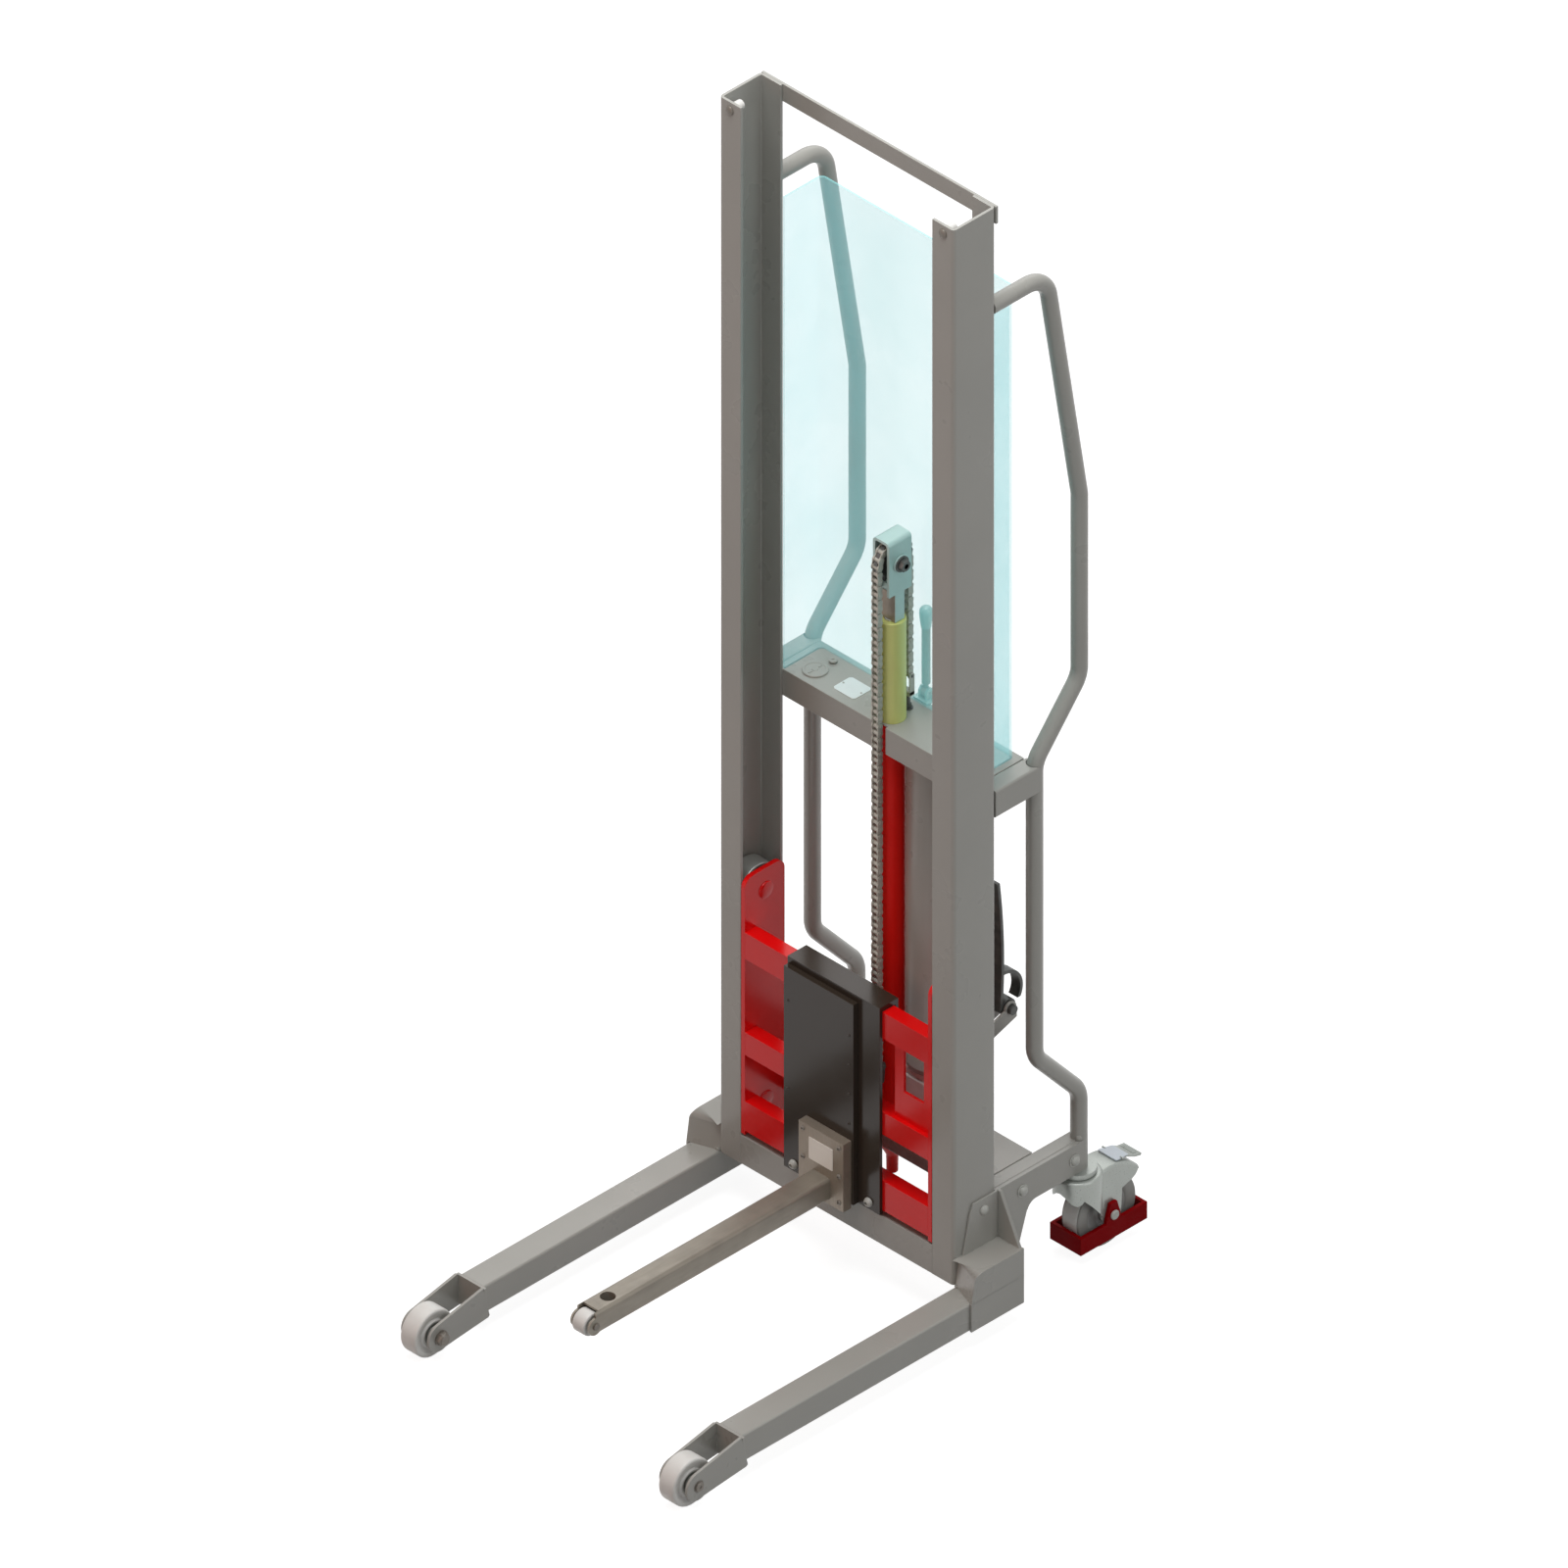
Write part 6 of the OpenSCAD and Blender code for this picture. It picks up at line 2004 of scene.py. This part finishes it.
    def guards(self) -> None:
        """Makes the foot guards: a ring round each wheel with tabs up to the axle."""
        solid = self.cad.solid("foot_guard_right")
        for side, shape in (("right", solid), ("left", solid.mirrored())):
            node = "foot_guard_" + side
            self.shop.make(node + "_finished", shape, Finish.GUARD_RED, "caster_" + side, [node], 1.3, 3,
                           flat=True)


@dataclass
class Studio:
    """The camera at the photograph's angle, the white floor and soft lamps."""

    azimuth: float = 45.0
    elevation: float = 35.2644
    scale: float = 2.3620
    aim: tuple[float, float] = (0.0063, 0.7723)
    distance: float = 6.0
    floor_size: float = 60.0
    world_light: float = 0.22
    floor_glow: float = 0.9
    lamp_aim: float = 0.9
    lamp_distance: float = 5.0

    def axes(self) -> tuple[Array, Array, Array]:
        """The camera's own directions.

        Returns:
            To the right of the view, up in it, and back towards the camera.
        """
        a, e = math.radians(self.azimuth), math.radians(self.elevation)
        back = np.array([math.sin(a) * math.cos(e), -math.cos(a) * math.cos(e), math.sin(e)])
        right = np.array([math.cos(a), math.sin(a), 0.0])
        return right, np.cross(back, right), back

    def camera(self) -> None:
        """Makes the orthographic camera."""
        right, up, back = self.axes()
        place = right * self.aim[0] + up * self.aim[1] + back * self.distance
        data = bpy.data.cameras.new("camera")
        data.type = "ORTHO"
        data.ortho_scale = self.scale
        data.clip_end = 60
        camera = bpy.data.objects.new("camera", data)
        camera.matrix_world = Matrix(np.block([
            [np.stack([right, up, back], 1), place[:, None]], [np.zeros((1, 3)), np.ones((1, 1))],
        ]).tolist())
        bpy.context.scene.collection.objects.link(camera)
        bpy.context.scene.camera = camera

    def background(self, tree: bpy.types.NodeTree) -> Socket:
        """1 for rays from the camera, or that glass or gloss passes on, and 0 for light.

        Args:
            tree: The node tree that reads it.

        Returns:
            The value.
        """
        path = tree.nodes.new("ShaderNodeLightPath")
        total = path.outputs["Is Camera Ray"]
        for name in ("Is Glossy Ray", "Is Transmission Ray"):
            node = tree.nodes.new("ShaderNodeMath")
            node.operation = "MAXIMUM"
            tree.links.new(total, node.inputs[0])
            tree.links.new(path.outputs[name], node.inputs[1])
            total = node.outputs[0]
        return total

    def world(self) -> None:
        """Makes the world: white where it is seen, and a soft even light."""
        world = bpy.data.worlds.new("world")
        world.use_nodes = True
        tree = world.node_tree
        back = tree.nodes["Background"]
        back.inputs["Color"].default_value = (1, 1, 1, 1)
        span = tree.nodes.new("ShaderNodeMapRange")
        span.inputs["To Min"].default_value = self.world_light
        span.inputs["To Max"].default_value = 1.0
        tree.links.new(self.background(tree), span.inputs["Value"])
        tree.links.new(span.outputs[0], back.inputs["Strength"])
        bpy.context.scene.world = world

    def floor(self) -> None:
        """Makes the floor: plain white that keeps the machine's shadow."""
        half = self.floor_size / 2
        mesh = bpy.data.meshes.new("floor")
        corners = [(-half, -half, 0), (half, -half, 0), (half, half, 0), (-half, half, 0)]
        mesh.from_pydata(corners, [], [(0, 1, 2, 3)])
        floor = bpy.data.objects.new("floor", mesh)
        bpy.context.scene.collection.objects.link(floor)
        material = bpy.data.materials.new("floor")
        material.use_nodes = True
        shader = material.node_tree.nodes["Principled BSDF"]
        shader.inputs["Base Color"].default_value = (0.32, 0.32, 0.32, 1)
        shader.inputs["Roughness"].default_value = 0.9
        shader.inputs["Specular IOR Level"].default_value = 0.1
        shader.inputs["Emission Color"].default_value = (1, 1, 1, 1)
        tree = material.node_tree
        span = tree.nodes.new("ShaderNodeMapRange")
        span.inputs["To Max"].default_value = self.floor_glow
        tree.links.new(self.background(tree), span.inputs["Value"])
        tree.links.new(span.outputs[0], shader.inputs["Emission Strength"])
        mesh.materials.append(material)

    def lamp(
        self, name: str, azimuth: float, elevation: float, power: float, size: float,
        tint: tuple[float, float, float] = (1, 1, 1),
    ) -> None:
        """Makes one square lamp that looks at the machine's middle.

        Args:
            name: Its name.
            azimuth: Its direction in degrees, from the front towards the right.
            elevation: Its height above the floor in degrees.
            power: Its power in watts.
            size: Its side in metres.
            tint: Its colour.
        """
        a, e = math.radians(azimuth), math.radians(elevation)
        back = Vector((math.sin(a) * math.cos(e), -math.cos(a) * math.cos(e), math.sin(e)))
        data = bpy.data.lights.new(name, "AREA")
        data.energy = power
        data.size = size
        data.color = tint
        lamp = bpy.data.objects.new(name, data)
        lamp.location = Vector((0, 0, self.lamp_aim)) + back * self.lamp_distance
        lamp.rotation_euler = back.to_track_quat("Z", "Y").to_euler()
        bpy.context.scene.collection.objects.link(lamp)

    def build(self) -> None:
        """Makes the floor, the world and the lamps."""
        bpy.context.scene.view_settings.view_transform = "Standard"
        self.world()
        self.floor()
        self.lamp("lamp_top", 0, 84, 188, 3.2)
        self.lamp("lamp_right", 100, 26, 38, 2.6)
        self.lamp("lamp_front", -14, 18, 24, 2.6, (1.0, 0.4, 0.2))
        self.lamp("lamp_back", 215, 40, 40, 3.0)


def main() -> None:
    """Makes the camera, dresses every sub-assembly and builds the studio."""
    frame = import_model()
    studio = Studio()
    studio.camera()
    shop = Workshop(Cad(frame))
    for assembly in (MastFrame, FrontRollers, Handles, Deck, Ram, Chain, Hydraulics, Carriage, Tool, Casters):
        assembly(shop).build()
        LOG.info("%s done, %d pieces so far", assembly.__name__, shop.count)
    studio.build()


if __name__ == "__main__":
    logging.basicConfig(level=logging.INFO, format="%(message)s", stream=sys.stdout)
    main()
